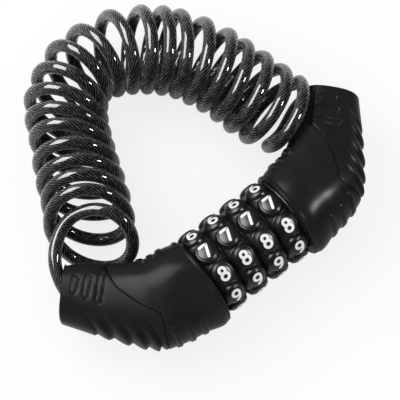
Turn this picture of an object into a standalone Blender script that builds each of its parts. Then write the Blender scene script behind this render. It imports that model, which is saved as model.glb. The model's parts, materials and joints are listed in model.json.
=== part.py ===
"""Four-dial combination lock on a coiled steel cable, as an assembly of separate pieces.

Sizes are in metres. The lock frame has its origin on the dials' axis, midway along the dial stack:
+X runs along the dials to the right housing, +Y points to the coil and +Z is up.
"""
import math

import bmesh
import bpy
import numpy as np
from mathutils import Matrix, Vector

# Clearance between pieces that touch or run on each other
CLEARANCE = 0.0003

# Dial stack
DIAL_COUNT = 4
DIAL_PITCH = 0.0075
DIAL_WALL = 0.0004
DIAL_CROWN = 0.00155
CROWN_FLAT_SHARE = 0.4
SHOULDER_PLACE_SHARE = 0.8
SHOULDER_RISE_SHARE = 0.6
NUMBERS = 10
PAD_RISE = 0.0005
PAD_SINK = 0.0018
PAD_SLOPE = 0.0009
PAD_MARGIN = 0.0001
PAD_GAP = 0.0005
FIRST_PAD_ANGLE = math.radians(13.0)

# Code rings, their gates and the pin's teeth
RING_WALL = 0.0009
TOOTH_LENGTH = 0.0020
TOOTH_GAP = 0.00045
TOOTH_WIDTH = 0.0022
TOOTH_OVERHANG = 0.0012
GATE_CLEARANCE = 0.0004

# Barrel, its flange, collar and clip
BARREL_RADIUS = 0.0070
NECK_STEP = 0.0010
BARREL_TAIL_LENGTH = 0.0092
FLANGE_LENGTH = 0.0014
COLLAR_LENGTH = 0.0011
CLIP_LENGTH = 0.0007
CLIP_DEPTH = 0.0006
CLIP_WIDTH = 0.0016
NECK_END = 0.0008
WASHER_LENGTH = 0.0007
SPRING_WIDTH = 0.0024
SPRING_THICKNESS = 0.0005

# Lock pin
PIN_RADIUS = 0.0030
PIN_SHOULDER_STEP = 0.0020
PIN_SHOULDER_LENGTH = 0.0022
PIN_TAIL_LENGTH = 0.0092

# Cores, cross pins and ferrules
CORE_RADIUS = 0.0072
CORE_WALL = 0.0019
CORE_BEND_RADIUS = 0.0120
CROSS_PIN_RADIUS = 0.0010
FERRULE_SLEEVE = 0.0008
FERRULE_WALL = 0.0006
FERRULE_LENGTH = 0.0098
FERRULE_OFFSET = 0.0020
FERRULE_PIN_RADIUS = 0.0008

# Housings: each row is one section, from the dials to the cable's end. Its four plan values, in
# millimetres, place the outer and the inner edge: along X from the dial stack, and in Y from the
# collar's radius. The last value is how much lower the section is than the collar.
COLLAR_RISE = 0.0005
COLLAR_WALL = 0.0025
FOOT_FLAT_DEPTH = 0.0003
HOUSING_SECTIONS_MM = (
    (0.15, 0.30, 0.15, -1.00, 0.2),
    (2.00, -0.80, 1.90, -0.10, 0.0),
    (7.40, 0.40, 5.60, 0.70, 0.1),
    (11.50, 1.10, 8.40, 0.90, 0.5),
    (15.60, 2.00, 11.20, 1.70, 1.1),
    (19.50, 3.20, 14.00, 3.30, 1.8),
    (22.20, 4.50, 16.40, 5.10, 2.5),
    (25.00, 7.30, 19.00, 7.00, 3.2),
    (28.20, 11.30, 21.60, 9.00, 3.9),
    (31.60, 16.00, 23.80, 10.70, 4.5),
    (35.40, 21.80, 26.00, 12.00, 5.0),
    (39.30, 27.60, 28.00, 12.90, 5.4),
)
COLLAR_SQUARENESS = 2.0
END_SQUARENESS = 2.5
BEND = math.radians(45.0)
RIB_DEPTH = 0.0013
FIRST_RIB = 6
LAST_RIB = 9
SEAM_MM = ((19.3, 30.0), (19.3, 20.6), (20.6, 16.1), (21.5, 10.5), (19.3, 2.5), (16.4, -3.4),
           (18.2, -7.6), (19.8, -11.0), (20.6, -30.0))
MOUTH_WALL = 0.0018
MOUTH_DEPTH = 0.0103

# Coiled cable. Plan places chosen by hand, in millimetres: where each turn reaches furthest out, where
# it reaches furthest in half a turn before and after, and the two leads with their heights.
CABLE_DIAMETER = 0.0038
COIL_RADIUS = 0.0111
COIL_HEIGHT = -0.0002
FIRST_TILT = 0.0065
FIRST_TILT_TURNS = 2.2
LAST_TILT = 0.0060
LAST_TILT_TURNS = 9.0
POINTS_PER_TURN = 9
LEAD_STEP = 0.0042
LEAD_OUT = 0.0036
LEAD_ACROSS = 0.0012
LEFT_LEAD_RISE = 0.0001
RIGHT_LEAD_RISE = -0.0013
OUTER_PLACES_MM = ((-40.4, 38.0), (-37.1, 43.8), (-34.8, 49.3), (-32.0, 55.1), (-28.4, 61.9), (-25.9, 67.4),
                   (-22.4, 72.9), (-16.5, 77.5), (-8.8, 81.2), (-0.3, 82.2), (10.3, 80.9), (19.4, 76.5),
                   (24.8, 72.3), (28.4, 68.5), (32.7, 62.2), (36.4, 54.9), (38.3, 49.2), (40.3, 42.8),
                   (41.9, 36.4), (43.4, 29.7))
INNER_PLACES_MM = ((-23.6, 21.1), (-20.5, 27.3), (-17.7, 33.1), (-15.6, 38.5), (-14.0, 43.2), (-12.3, 47.6),
                   (-10.6, 51.7), (-8.7, 55.6), (-6.2, 59.1), (-2.75, 61.65), (1.45, 60.6), (5.1, 58.35),
                   (8.45, 55.65), (11.6, 52.6), (14.2, 49.05), (16.0, 45.0), (17.7, 40.6), (19.1, 35.6),
                   (20.1, 30.4), (21.9, 24.7), (25.1, 18.9))
LEFT_LEAD_MM = ((-47.3, 23.5, 0.4), (-45.8, 27.9, 1.0), (-43.1, 31.6, 1.8), (-39.4, 34.3, 3.0),
                (-35.2, 35.5, 4.6), (-31.2, 34.7, 6.4), (-27.4, 32.2, 8.2), (-24.7, 28.6, 8.6),
                (-23.4, 24.8, 7.2), (-23.6, 21.4, 4.2), (-25.4, 19.0, -0.6), (-28.4, 18.6, -5.6),
                (-32.4, 20.6, -9.6), (-36.2, 24.4, -11.1), (-39.2, 29.2, -10.4), (-40.8, 33.8, -6.4))
RIGHT_LEAD_MM = ((43.0, 28.0, 5.0), (41.0, 24.4, 9.0), (37.4, 20.8, 11.2), (33.2, 18.2, 11.4),
                 (29.0, 16.8, 9.8), (25.8, 16.9, 6.2), (24.6, 18.4, 1.6), (25.2, 20.2, -3.2),
                 (27.8, 21.4, -7.6), (32.4, 22.6, -10.6), (37.6, 24.8, -11.2), (42.4, 26.6, -10.6),
                 (46.5, 26.3, -8.8), (49.0, 23.8, -5.6), (48.6, 21.0, -2.9))

# Derived places
MM = 0.001
DIAL_WIDTH = DIAL_PITCH - CLEARANCE
STACK_HALF = DIAL_COUNT * DIAL_PITCH / 2
FACE_X = STACK_HALF + CLEARANCE / 2
TOOTH_REACH = BARREL_RADIUS + TOOTH_OVERHANG
GATE_WIDTH = TOOTH_WIDTH + 2 * GATE_CLEARANCE
GATE_REACH = TOOTH_REACH + GATE_CLEARANCE
RING_LENGTH = DIAL_PITCH - TOOTH_LENGTH - 2 * TOOTH_GAP
RING_START = -DIAL_WIDTH / 2 + CLEARANCE / 2
TOOTH_START = RING_START + RING_LENGTH + TOOTH_GAP
RING_FLAT_RADIUS = GATE_REACH + RING_WALL
DIAL_LIP_RADIUS = GATE_REACH + CLEARANCE
DIAL_POCKET_RADIUS = (RING_FLAT_RADIUS + CLEARANCE) / math.cos(math.pi / NUMBERS)
DIAL_EDGE_RADIUS = DIAL_POCKET_RADIUS + DIAL_WALL
DIAL_RIM_RADIUS = DIAL_EDGE_RADIUS + DIAL_CROWN
PAD_FLAT_RADIUS = DIAL_RIM_RADIUS + PAD_RISE
PAD_WIDTH = DIAL_WIDTH - 2 * (PAD_SLOPE + PAD_MARGIN)
PAD_LENGTH = 2 * PAD_FLAT_RADIUS * math.tan(math.pi / NUMBERS) - 2 * PAD_SLOPE - PAD_GAP
DIAL_TOP_RADIUS = math.hypot(PAD_FLAT_RADIUS, PAD_LENGTH / 2)
COLLAR_RADIUS = DIAL_TOP_RADIUS + COLLAR_RISE
RECESS_RADIUS = COLLAR_RADIUS - COLLAR_WALL
FLANGE_RADIUS = RECESS_RADIUS - CLEARANCE
WASHER_RADIUS = FLANGE_RADIUS - CLEARANCE
BARREL_NECK_RADIUS = BARREL_RADIUS - NECK_STEP
BARREL_TAIL_RADIUS = CORE_RADIUS - CORE_WALL - CLEARANCE
PIN_SHOULDER_RADIUS = CORE_RADIUS - PIN_SHOULDER_STEP
FERRULE_RADIUS = CABLE_DIAMETER / 2 + FERRULE_SLEEVE
CORE_END_RADIUS = FERRULE_OFFSET + FERRULE_RADIUS + CLEARANCE + FERRULE_WALL
WASHER_END = FACE_X + WASHER_LENGTH
FLANGE_START = WASHER_END + CLEARANCE
FLANGE_END = FLANGE_START + FLANGE_LENGTH
RIGHT_CORE_START = FLANGE_END + 2 * CLEARANCE
CLIP_START = FACE_X + COLLAR_LENGTH + CLEARANCE
CLIP_END = CLIP_START + CLIP_LENGTH
NECK_TIP = CLIP_END + CLEARANCE + NECK_END
LEFT_CORE_START = NECK_TIP + 2 * CLEARANCE + PIN_SHOULDER_LENGTH
ROUND_STEPS = 24
DIAL_STEPS = 30
PAD_STEPS = 12
PIN_STEPS = 16
SMALL_PIN_STEPS = 12
CORE_STEPS = 16
CORE_BEND_STEPS = 4
FERRULE_STEPS = 20
HOUSING_STEPS = 28
CABLE_SIDES = 6
END_DIRECTION = np.array((math.cos(BEND), math.sin(BEND), 0.0))
END_ACROSS = np.array((-math.sin(BEND), math.cos(BEND), 0.0))


def housing_table():
    """The housing's sections in metres: outer x and y, inner x and y, half height."""
    rows = np.array(HOUSING_SECTIONS_MM) * MM
    table = np.empty_like(rows)
    table[:, 0] = STACK_HALF + rows[:, 0]
    table[:, 1] = rows[:, 1] - COLLAR_RADIUS
    table[:, 2] = STACK_HALF + rows[:, 2]
    table[:, 3] = rows[:, 3] + COLLAR_RADIUS
    table[:, 4] = COLLAR_RADIUS - rows[:, 4]
    return table


HOUSING = housing_table()
END_CENTRE = np.array(((HOUSING[-1, 0] + HOUSING[-1, 2]) / 2, (HOUSING[-1, 1] + HOUSING[-1, 3]) / 2, 0.0))
AXIS_Y = -(HOUSING[:, 1].min() + HOUSING[:, 3].max()) / 2
AXIS_HEIGHT = COLLAR_RADIUS - FOOT_FLAT_DEPTH
ELBOW_X = END_CENTRE[0] - END_CENTRE[1] / math.tan(BEND)
MOUTH_WIDTH = math.hypot(HOUSING[-1, 0] - HOUSING[-1, 2], HOUSING[-1, 1] - HOUSING[-1, 3]) - 2 * MOUTH_WALL
MOUTH_HEIGHT = 2 * HOUSING[-1, 4] - 2 * MOUTH_WALL


def natural_spline(points, places=None):
    """A function of place that follows a smooth curve through the points, and the points' places.

    The places are chord lengths from the first point unless others are given.
    """
    points = np.asarray(points, float)
    if places is None:
        places = np.concatenate(([0.0], np.cumsum(np.linalg.norm(np.diff(points, axis=0), axis=1))))
    step = np.diff(places)
    count = len(points)
    system = np.eye(count)
    right_side = np.zeros_like(points)
    for i in range(1, count - 1):
        system[i, i - 1:i + 2] = step[i - 1], 2 * (step[i - 1] + step[i]), step[i]
        slope_after = (points[i + 1] - points[i]) / step[i]
        slope_before = (points[i] - points[i - 1]) / step[i - 1]
        right_side[i] = 6 * (slope_after - slope_before)
    bend = np.linalg.solve(system, right_side)

    def at(where):
        where = np.asarray(where, float)
        i = np.clip(np.searchsorted(places, where, side="right") - 1, 0, count - 2)
        after = (where - places[i])[:, None]
        before = (places[i + 1] - where)[:, None]
        length = step[i][:, None]
        cubic = (bend[i] * before ** 3 + bend[i + 1] * after ** 3) / (6 * length)
        first = (points[i] / length - bend[i] * length / 6) * before
        second = (points[i + 1] / length - bend[i + 1] * length / 6) * after
        return cubic + first + second

    return at, places


def along_curve(at, whole, count):
    """Evenly spaced points on a smooth curve and the distance to each along it."""
    dense = at(np.linspace(0.0, whole, 20 * count))
    run = np.concatenate(([0.0], np.cumsum(np.linalg.norm(np.diff(dense, axis=0), axis=1))))
    even = np.linspace(0.0, run[-1], count)
    places = np.interp(even, run, np.linspace(0.0, whole, 20 * count))
    return at(places), even


def helix_points():
    """The coil's wire, turn by turn.

    Two smooth lines run through the places where the turns reach furthest out and furthest in. The wire
    swings from one line to the other and back in each turn, half a swing ahead of its rise and fall. The
    turns near both ends tilt, their tops forward and their bottoms back.
    """
    outer_places = np.array(OUTER_PLACES_MM) * MM
    inner_places = np.array(INNER_PLACES_MM) * MM
    turns = len(outer_places) - 1
    outer_at = natural_spline(outer_places, np.arange(turns + 1.0))[0]
    inner_at = natural_spline(inner_places, np.arange(turns + 2.0) - 0.5)[0]
    turn = np.linspace(0.0, turns, turns * POINTS_PER_TURN + 1)
    outer = outer_at(turn)
    inner = inner_at(turn)
    middle = (outer + inner) / 2
    ahead = np.gradient(middle, turn, axis=0)
    ahead /= np.linalg.norm(ahead, axis=1, keepdims=True)
    angle = 2 * math.pi * turn
    first_tilt = FIRST_TILT * np.exp(-turn / FIRST_TILT_TURNS)
    last_tilt = LAST_TILT * np.exp((turn - turns) / LAST_TILT_TURNS)
    swing = np.cos(angle)[:, None] * (outer - inner) / 2
    lean = ((first_tilt + last_tilt) * np.sin(angle))[:, None] * ahead
    return np.column_stack((middle + swing + lean, COIL_HEIGHT + COIL_RADIUS * np.sin(angle)))


def mouth_point(side, along, across, height):
    """A point near a housing's mouth: outward along its axis, across towards the coil, and up."""
    point = END_CENTRE + along * END_DIRECTION + across * END_ACROSS
    return np.array((side * point[0], point[1], height))


def cable_points():
    """The cable's centre line: left ferrule, one loose loop, the coil, one loose loop, right ferrule."""
    start = -MOUTH_DEPTH + CLEARANCE
    straight = start + CABLE_DIAMETER
    offset = -FERRULE_OFFSET
    helix = helix_points()
    left = [mouth_point(-1, start, offset, 0.0), mouth_point(-1, straight, offset, 0.0),
            mouth_point(-1, straight + LEAD_OUT, offset + LEAD_ACROSS, LEFT_LEAD_RISE)]
    right = [mouth_point(1, straight + LEAD_OUT, offset + LEAD_ACROSS, RIGHT_LEAD_RISE),
             mouth_point(1, straight, offset, 0.0), mouth_point(1, start, offset, 0.0)]
    route = np.vstack((left, np.array(LEFT_LEAD_MM) * MM, helix, np.array(RIGHT_LEAD_MM) * MM, right))
    first_turn = len(left) + len(LEFT_LEAD_MM)
    last_turn = first_turn + len(helix) - 1
    at, chord = natural_spline(route)
    left_steps = int(round(chord[first_turn] / LEAD_STEP))
    right_steps = int(round((chord[-1] - chord[last_turn]) / LEAD_STEP))
    places = np.concatenate((np.linspace(0.0, chord[first_turn], left_steps + 1)[:-1],
                             chord[first_turn:last_turn],
                             np.linspace(chord[last_turn], chord[-1], right_steps + 1)))
    report_cable(at, chord[-1])
    return at(places)


def report_cable(at, whole):
    """Prints the cable's length and the least gap between its turns, measured on points."""
    points, run = along_curve(at, whole, 4001)
    skip = int(4 * CABLE_DIAMETER / run[1])
    least = min(np.linalg.norm(points[i + skip:] - points[i], axis=1).min()
                for i in range(0, len(points) - skip, 2))
    lowest = points[:, 2].min() - CABLE_DIAMETER / 2 + AXIS_HEIGHT
    gap = least - CABLE_DIAMETER
    print("cable length %.4f m, least gap to itself %.2f mm" % (run[-1], gap / MM))
    print("lowest point of the cable %.2f mm above the floor" % (lowest / MM))


def collection(name):
    made = bpy.data.collections.new(name)
    bpy.context.scene.collection.children.link(made)
    return made


def material(name, colour, roughness, metallic=0.0):
    made = bpy.data.materials.new(name)
    made.use_nodes = True
    shader = made.node_tree.nodes["Principled BSDF"]
    shader.inputs["Base Color"].default_value = (*colour, 1.0)
    shader.inputs["Roughness"].default_value = roughness
    shader.inputs["Metallic"].default_value = metallic
    return made


for old in list(bpy.data.objects):
    bpy.data.objects.remove(old, do_unlink=True)

PARTS = collection("coiled_cable_lock")
CUTTERS = collection("cutters")
LOCK_AXIS = bpy.data.objects.new("lock_axis", None)
LOCK_AXIS.location = (0.0, AXIS_Y, AXIS_HEIGHT)
PARTS.objects.link(LOCK_AXIS)
PIN_AXIS = bpy.data.objects.new("pin_axis", None)
PIN_AXIS.parent = LOCK_AXIS
PARTS.objects.link(PIN_AXIS)

SHELL_BLACK = material("shell_black", (0.018, 0.018, 0.019), 0.32)
BOOT_BLACK = material("boot_black", (0.022, 0.022, 0.023), 0.40)
DIAL_BLACK = material("dial_black", (0.012, 0.012, 0.013), 0.22)
ZINC = material("zinc", (0.55, 0.55, 0.56), 0.38, 1.0)
STEEL = material("steel", (0.62, 0.62, 0.63), 0.28, 1.0)
ALUMINIUM = material("aluminium", (0.78, 0.78, 0.79), 0.40, 1.0)
SMOKED_JACKET = material("smoked_jacket", (0.055, 0.055, 0.058), 0.15)


def add(name, mesh, finish=None, parent=LOCK_AXIS, cutter=False):
    """Puts a mesh or curve into the scene as a part, or as a cutter that only shapes parts."""
    piece = bpy.data.objects.new(name, mesh)
    (CUTTERS if cutter else PARTS).objects.link(piece)
    piece.parent = parent
    if finish:
        mesh.materials.append(finish)
    if cutter:
        piece.hide_render = True
        piece.display_type = "WIRE"
    return piece


def mesh_from(build, name):
    """A mesh made by a function that fills a bmesh, with its faces turned outwards."""
    work = bmesh.new()
    build(work)
    bmesh.ops.recalc_face_normals(work, faces=work.faces)
    mesh = bpy.data.meshes.new(name)
    work.to_mesh(mesh)
    work.free()
    return mesh


def smooth(mesh):
    mesh.shade_smooth()
    mesh.set_sharp_from_angle(angle=math.radians(35.0))


def box_mesh(name, low, high):
    def build(work):
        size = Vector(high) - Vector(low)
        middle = (Vector(high) + Vector(low)) / 2
        place = Matrix.Translation(middle) @ Matrix.Diagonal((*size, 1.0))
        bmesh.ops.create_cube(work, size=1.0, matrix=place)
    return mesh_from(build, name)


def rod_mesh(name, radius, start, end, sides=ROUND_STEPS):
    """A straight rod from start to end."""
    start = Vector(start)
    end = Vector(end)
    run = end - start
    turn = run.to_track_quat("Z", "Y").to_matrix().to_4x4()

    def build(work):
        bmesh.ops.create_cone(work, cap_ends=True, segments=sides, radius1=radius, radius2=radius,
                              depth=run.length, matrix=Matrix.Translation((start + end) / 2) @ turn)
    return mesh_from(build, name)


def prism_mesh(name, outline, low, high):
    """A plan outline carried from one height to another."""
    def build(work):
        base = [work.verts.new((x, y, low)) for x, y in outline]
        face = work.faces.new(base)
        grown = bmesh.ops.extrude_face_region(work, geom=[face])
        raised = [v for v in grown["geom"] if isinstance(v, bmesh.types.BMVert)]
        bmesh.ops.translate(work, verts=raised, vec=(0.0, 0.0, high - low))
    return mesh_from(build, name)


def loft_mesh(name, rings):
    """A closed skin through rings of points, capped at both ends."""
    def build(work):
        rows = [[work.verts.new(p) for p in ring] for ring in rings]
        around = len(rows[0])
        for row, following in zip(rows, rows[1:]):
            for i in range(around):
                j = (i + 1) % around
                work.faces.new((row[i], row[j], following[j], following[i]))
        work.faces.new(rows[0])
        work.faces.new(rows[-1])
    return mesh_from(build, name)


def turned(name, profile, finish, parent=LOCK_AXIS, steps=ROUND_STEPS):
    """A shape turned on the X axis. The profile lists (x, radius), outer side from +X to -X first."""
    mesh = bpy.data.meshes.new(name)
    closed = profile[0][1] > 0.0
    points = [(radius, 0.0, x) for x, radius in profile]
    edges = [(i, i + 1) for i in range(len(points) - 1)]
    if closed:
        edges.append((len(points) - 1, 0))
    mesh.from_pydata(points, edges, [])
    piece = add(name, mesh, finish, parent)
    piece.rotation_euler = (0.0, math.pi / 2, 0.0)
    screw = piece.modifiers.new("turn", "SCREW")
    screw.steps = steps
    screw.render_steps = steps
    screw.use_merge_vertices = True
    screw.merge_threshold = 0.00001
    screw.use_smooth_shade = True
    return piece


def cut(piece, mesh, operation="DIFFERENCE"):
    """Cuts a piece with a mesh in the lock frame."""
    tool = add(mesh.name, mesh, cutter=True)
    step = piece.modifiers.new(tool.name, "BOOLEAN")
    step.object = tool
    step.operation = operation


def settle(piece):
    """Swaps a piece's modifiers, or its curve, for the mesh that they make, in the piece's own place."""
    bpy.context.view_layer.update()
    shape = piece.evaluated_get(bpy.context.evaluated_depsgraph_get())
    mesh = bpy.data.meshes.new_from_object(shape)
    work = bmesh.new()
    work.from_mesh(mesh)
    bmesh.ops.remove_doubles(work, verts=work.verts, dist=0.000002)
    work.to_mesh(mesh)
    work.free()
    mesh.name = piece.name
    return mesh


def tube_curve(name, points, radius, sides, radii=None):
    """A round tube along a line of points, closed at both ends."""
    curve = bpy.data.curves.new(name, "CURVE")
    curve.dimensions = "3D"
    curve.bevel_depth = radius
    curve.bevel_resolution = sides // 2 - 2
    curve.use_fill_caps = True
    line = curve.splines.new("POLY")
    line.points.add(len(points) - 1)
    line.points.foreach_set("co", np.column_stack((points, np.ones(len(points)))).ravel())
    if radii is not None:
        line.points.foreach_set("radius", np.asarray(radii) / radius)
    return curve


def tube_mesh(name, points, radius, sides, radii=None):
    """The same tube as a mesh, which can be cut and can cut."""
    guide = add(name, tube_curve(name, points, radius, sides, radii), cutter=True)
    mesh = settle(guide)
    bpy.data.objects.remove(guide, do_unlink=True)
    return mesh_from(lambda work: work.from_mesh(mesh), name)


def pad_mesh():
    """The ten raised number pads of a dial, each a flat-topped oval mound, round the X axis."""
    def build(work):
        height = PAD_FLAT_RADIUS - DIAL_RIM_RADIUS + PAD_SINK
        top = PAD_WIDTH / 2
        base = top + PAD_SLOPE
        for k in range(NUMBERS):
            angle = FIRST_PAD_ANGLE + 2 * math.pi * k / NUMBERS
            stretch = Matrix.Diagonal((1.0, PAD_LENGTH / PAD_WIDTH, 1.0, 1.0))
            lift = Matrix.Translation((0.0, 0.0, PAD_FLAT_RADIUS - height / 2))
            place = Matrix.Rotation(-angle, 4, "X") @ lift @ stretch
            bmesh.ops.create_cone(work, cap_ends=True, segments=PAD_STEPS, radius1=base, radius2=top,
                                  depth=height, matrix=place)
    return mesh_from(build, "number_pads")


def gate_mesh(name, start, end):
    """The straight way that the pin's teeth take, below the axis."""
    return box_mesh(name, (start, -GATE_WIDTH / 2, -GATE_REACH), (end, GATE_WIDTH / 2, 0.0))


def make_dials():
    """Number dials and their code rings. The gates are in line, as when the code is set."""
    half = DIAL_WIDTH / 2
    crown = DIAL_RIM_RADIUS - DIAL_EDGE_RADIUS
    flat = CROWN_FLAT_SHARE * half
    bend = SHOULDER_PLACE_SHARE * half
    shoulder = DIAL_EDGE_RADIUS + SHOULDER_RISE_SHARE * crown
    profile = [(half, DIAL_EDGE_RADIUS), (bend, shoulder), (flat, DIAL_RIM_RADIUS),
               (-flat, DIAL_RIM_RADIUS), (-bend, shoulder), (-half, DIAL_EDGE_RADIUS),
               (-half, DIAL_LIP_RADIUS), (half, DIAL_LIP_RADIUS)]
    pattern = turned("dial_pattern", profile, DIAL_BLACK, steps=DIAL_STEPS)
    cut(pattern, pad_mesh(), "UNION")
    pocket_end = RING_START + RING_LENGTH + CLEARANCE
    pocket = rod_mesh("ring_pocket", DIAL_POCKET_RADIUS, (-DIAL_PITCH, 0, 0), (pocket_end, 0, 0), NUMBERS)
    cut(pattern, pocket)
    dial_mesh = settle(pattern)
    dial_mesh.transform(pattern.rotation_euler.to_matrix().to_4x4())
    smooth(dial_mesh)
    bpy.data.objects.remove(pattern, do_unlink=True)

    ring_corner = RING_FLAT_RADIUS / math.cos(math.pi / NUMBERS)
    ring_end = RING_START + RING_LENGTH
    blank = rod_mesh("code_ring", ring_corner, (RING_START, 0, 0), (ring_end, 0, 0), NUMBERS)
    ring = add("ring_pattern", blank, ZINC)
    cut(ring, rod_mesh("ring_bore", BARREL_RADIUS + CLEARANCE, (-DIAL_PITCH, 0, 0), (DIAL_PITCH, 0, 0)))
    cut(ring, gate_mesh("ring_gate", -DIAL_PITCH, DIAL_PITCH))
    ring_mesh = settle(ring)
    bpy.data.objects.remove(ring, do_unlink=True)

    for k in range(DIAL_COUNT):
        x = (k - (DIAL_COUNT - 1) / 2) * DIAL_PITCH
        for name, mesh in (("dial", dial_mesh), ("code_ring", ring_mesh)):
            piece = add("%s_%d" % (name, k + 1), mesh)
            piece.location = (x, 0.0, 0.0)


def ring_profile(high, low, bore, radius):
    """The section of a plain ring between two places on the X axis."""
    return [(high, bore), (high, radius), (low, radius), (low, bore)]


def make_barrel():
    """Slotted barrel with its flange and tail, and what sits on it."""
    shoulder = FACE_X - CLEARANCE
    bore = PIN_RADIUS + CLEARANCE
    groove = BARREL_NECK_RADIUS - CLIP_DEPTH
    slot_end = FACE_X
    tail_end = RIGHT_CORE_START + BARREL_TAIL_LENGTH
    profile = [(tail_end, 0.0), (tail_end, BARREL_TAIL_RADIUS), (FLANGE_END, BARREL_TAIL_RADIUS),
               (FLANGE_END, FLANGE_RADIUS), (FLANGE_START, FLANGE_RADIUS), (FLANGE_START, BARREL_RADIUS),
               (-shoulder, BARREL_RADIUS), (-shoulder, BARREL_NECK_RADIUS),
               (-(CLIP_START - CLEARANCE), BARREL_NECK_RADIUS), (-(CLIP_START - CLEARANCE), groove),
               (-(CLIP_END + CLEARANCE), groove), (-(CLIP_END + CLEARANCE), BARREL_NECK_RADIUS),
               (-NECK_TIP, BARREL_NECK_RADIUS), (-NECK_TIP, bore), (slot_end + CLEARANCE, bore),
               (slot_end + CLEARANCE, 0.0)]
    barrel = turned("barrel", profile, ZINC)
    slot_half = GATE_WIDTH / 2
    slot_depth = 2 * BARREL_RADIUS
    slot_start = -2 * NECK_TIP
    cut(barrel, box_mesh("tooth_slot", (slot_start, -slot_half, -slot_depth), (slot_end, slot_half, 0.0)))
    spring_half = STACK_HALF - 2 * CLEARANCE
    spring_top = BARREL_RADIUS - CLEARANCE
    spring_low = spring_top - SPRING_THICKNESS
    room_x = spring_half + CLEARANCE
    room_y = SPRING_WIDTH / 2 + CLEARANCE
    cut(barrel, box_mesh("spring_groove", (-room_x, -room_y, spring_low - CLEARANCE),
                         (room_x, room_y, 2 * BARREL_RADIUS)))
    cross_x = RIGHT_CORE_START + BARREL_TAIL_LENGTH / 2
    cut(barrel, cross_hole("barrel_cross_hole", cross_x))

    add("click_spring", box_mesh("click_spring", (-spring_half, -SPRING_WIDTH / 2, spring_low),
                                 (spring_half, SPRING_WIDTH / 2, spring_top)), STEEL)
    washer_bore = BARREL_RADIUS + CLEARANCE
    turned("thrust_washer", ring_profile(WASHER_END, FACE_X, washer_bore, WASHER_RADIUS), STEEL)
    collar_bore = BARREL_NECK_RADIUS + CLEARANCE
    collar_end = FACE_X + COLLAR_LENGTH
    collar = turned("dial_collar", ring_profile(-FACE_X, -collar_end, collar_bore, FLANGE_RADIUS), ZINC)
    cut(collar, gate_mesh("collar_gate", -2 * FACE_X, 0.0))
    clip_bore = groove + CLEARANCE
    clip_edge = clip_bore + CLIP_WIDTH
    clip = turned("collar_clip", ring_profile(-CLIP_START, -CLIP_END, clip_bore, clip_edge), STEEL)
    cut(clip, gate_mesh("clip_gate", -2 * FACE_X, 0.0))
    add("barrel_cross_pin", cross_pin("barrel_cross_pin", cross_x), STEEL)


def cross_hole(name, x):
    reach = 2 * CORE_RADIUS
    return rod_mesh(name, CROSS_PIN_RADIUS + CLEARANCE, (x, 0, -reach), (x, 0, reach), PIN_STEPS)


def cross_pin(name, x):
    reach = CORE_RADIUS - 4 * CLEARANCE
    return rod_mesh(name, CROSS_PIN_RADIUS, (x, 0, -reach), (x, 0, reach), PIN_STEPS)


def make_lock_pin():
    """Toothed pin of the left housing, with the cross pin that holds it."""
    tip = STACK_HALF
    root = -(LEFT_CORE_START + PIN_TAIL_LENGTH)
    shoulder_start = -(LEFT_CORE_START - CLEARANCE)
    shoulder_end = shoulder_start + PIN_SHOULDER_LENGTH
    chamfer = PIN_RADIUS / 4
    profile = [(tip, 0.0), (tip, PIN_RADIUS - chamfer), (tip - chamfer, PIN_RADIUS),
               (shoulder_end, PIN_RADIUS), (shoulder_end, PIN_SHOULDER_RADIUS),
               (shoulder_start, PIN_SHOULDER_RADIUS), (shoulder_start, PIN_RADIUS),
               (root, PIN_RADIUS), (root, 0.0)]
    pin = turned("lock_pin", profile, STEEL, PIN_AXIS)

    def teeth(work):
        for k in range(DIAL_COUNT):
            x = (k - (DIAL_COUNT - 1) / 2) * DIAL_PITCH + TOOTH_START + TOOTH_LENGTH / 2
            size = (TOOTH_LENGTH, TOOTH_WIDTH, TOOTH_REACH, 1.0)
            place = Matrix.Translation((x, 0.0, -TOOTH_REACH / 2))
            bmesh.ops.create_cube(work, size=1.0, matrix=place @ Matrix.Diagonal(size))
    cut(pin, mesh_from(teeth, "pin_teeth"), "UNION")
    cross_x = -(LEFT_CORE_START + PIN_TAIL_LENGTH / 2)
    cut(pin, cross_hole("lock_cross_hole", cross_x))
    add("lock_cross_pin", cross_pin("lock_cross_pin", cross_x), STEEL, PIN_AXIS)


def core_line(side, start):
    """A core's bent middle line and the radius at each of its points."""
    tangent = CORE_BEND_RADIUS * math.tan(BEND / 2)
    points = [(start, 0.0, 0.0)]
    radii = [CORE_RADIUS]
    for k in range(CORE_BEND_STEPS + 1):
        share = k / CORE_BEND_STEPS
        angle = BEND * share
        points.append((ELBOW_X - tangent + CORE_BEND_RADIUS * math.sin(angle),
                       CORE_BEND_RADIUS * (1 - math.cos(angle)), 0.0))
        radii.append(CORE_RADIUS + (CORE_END_RADIUS - CORE_RADIUS) * share)
    points.append(tuple(END_CENTRE - (MOUTH_DEPTH + CLEARANCE) * END_DIRECTION))
    radii.append(CORE_END_RADIUS)
    line = np.array(points)
    line[:, 0] *= side
    return line, np.array(radii)


def core_pocket(side, start):
    """The space that a core takes up in its housing, with clearance, and the way to it from the dials."""
    line, radii = core_line(side, start)
    first = np.array((side * FACE_X, 0.0, 0.0))
    last = line[-1] + np.array((side, 1.0, 1.0)) * END_DIRECTION * 2 * CLEARANCE
    line = np.vstack((first, line[1:-1], last))
    return tube_mesh("core_pocket", line, CORE_RADIUS + CLEARANCE, CORE_STEPS, radii + CLEARANCE)


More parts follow.
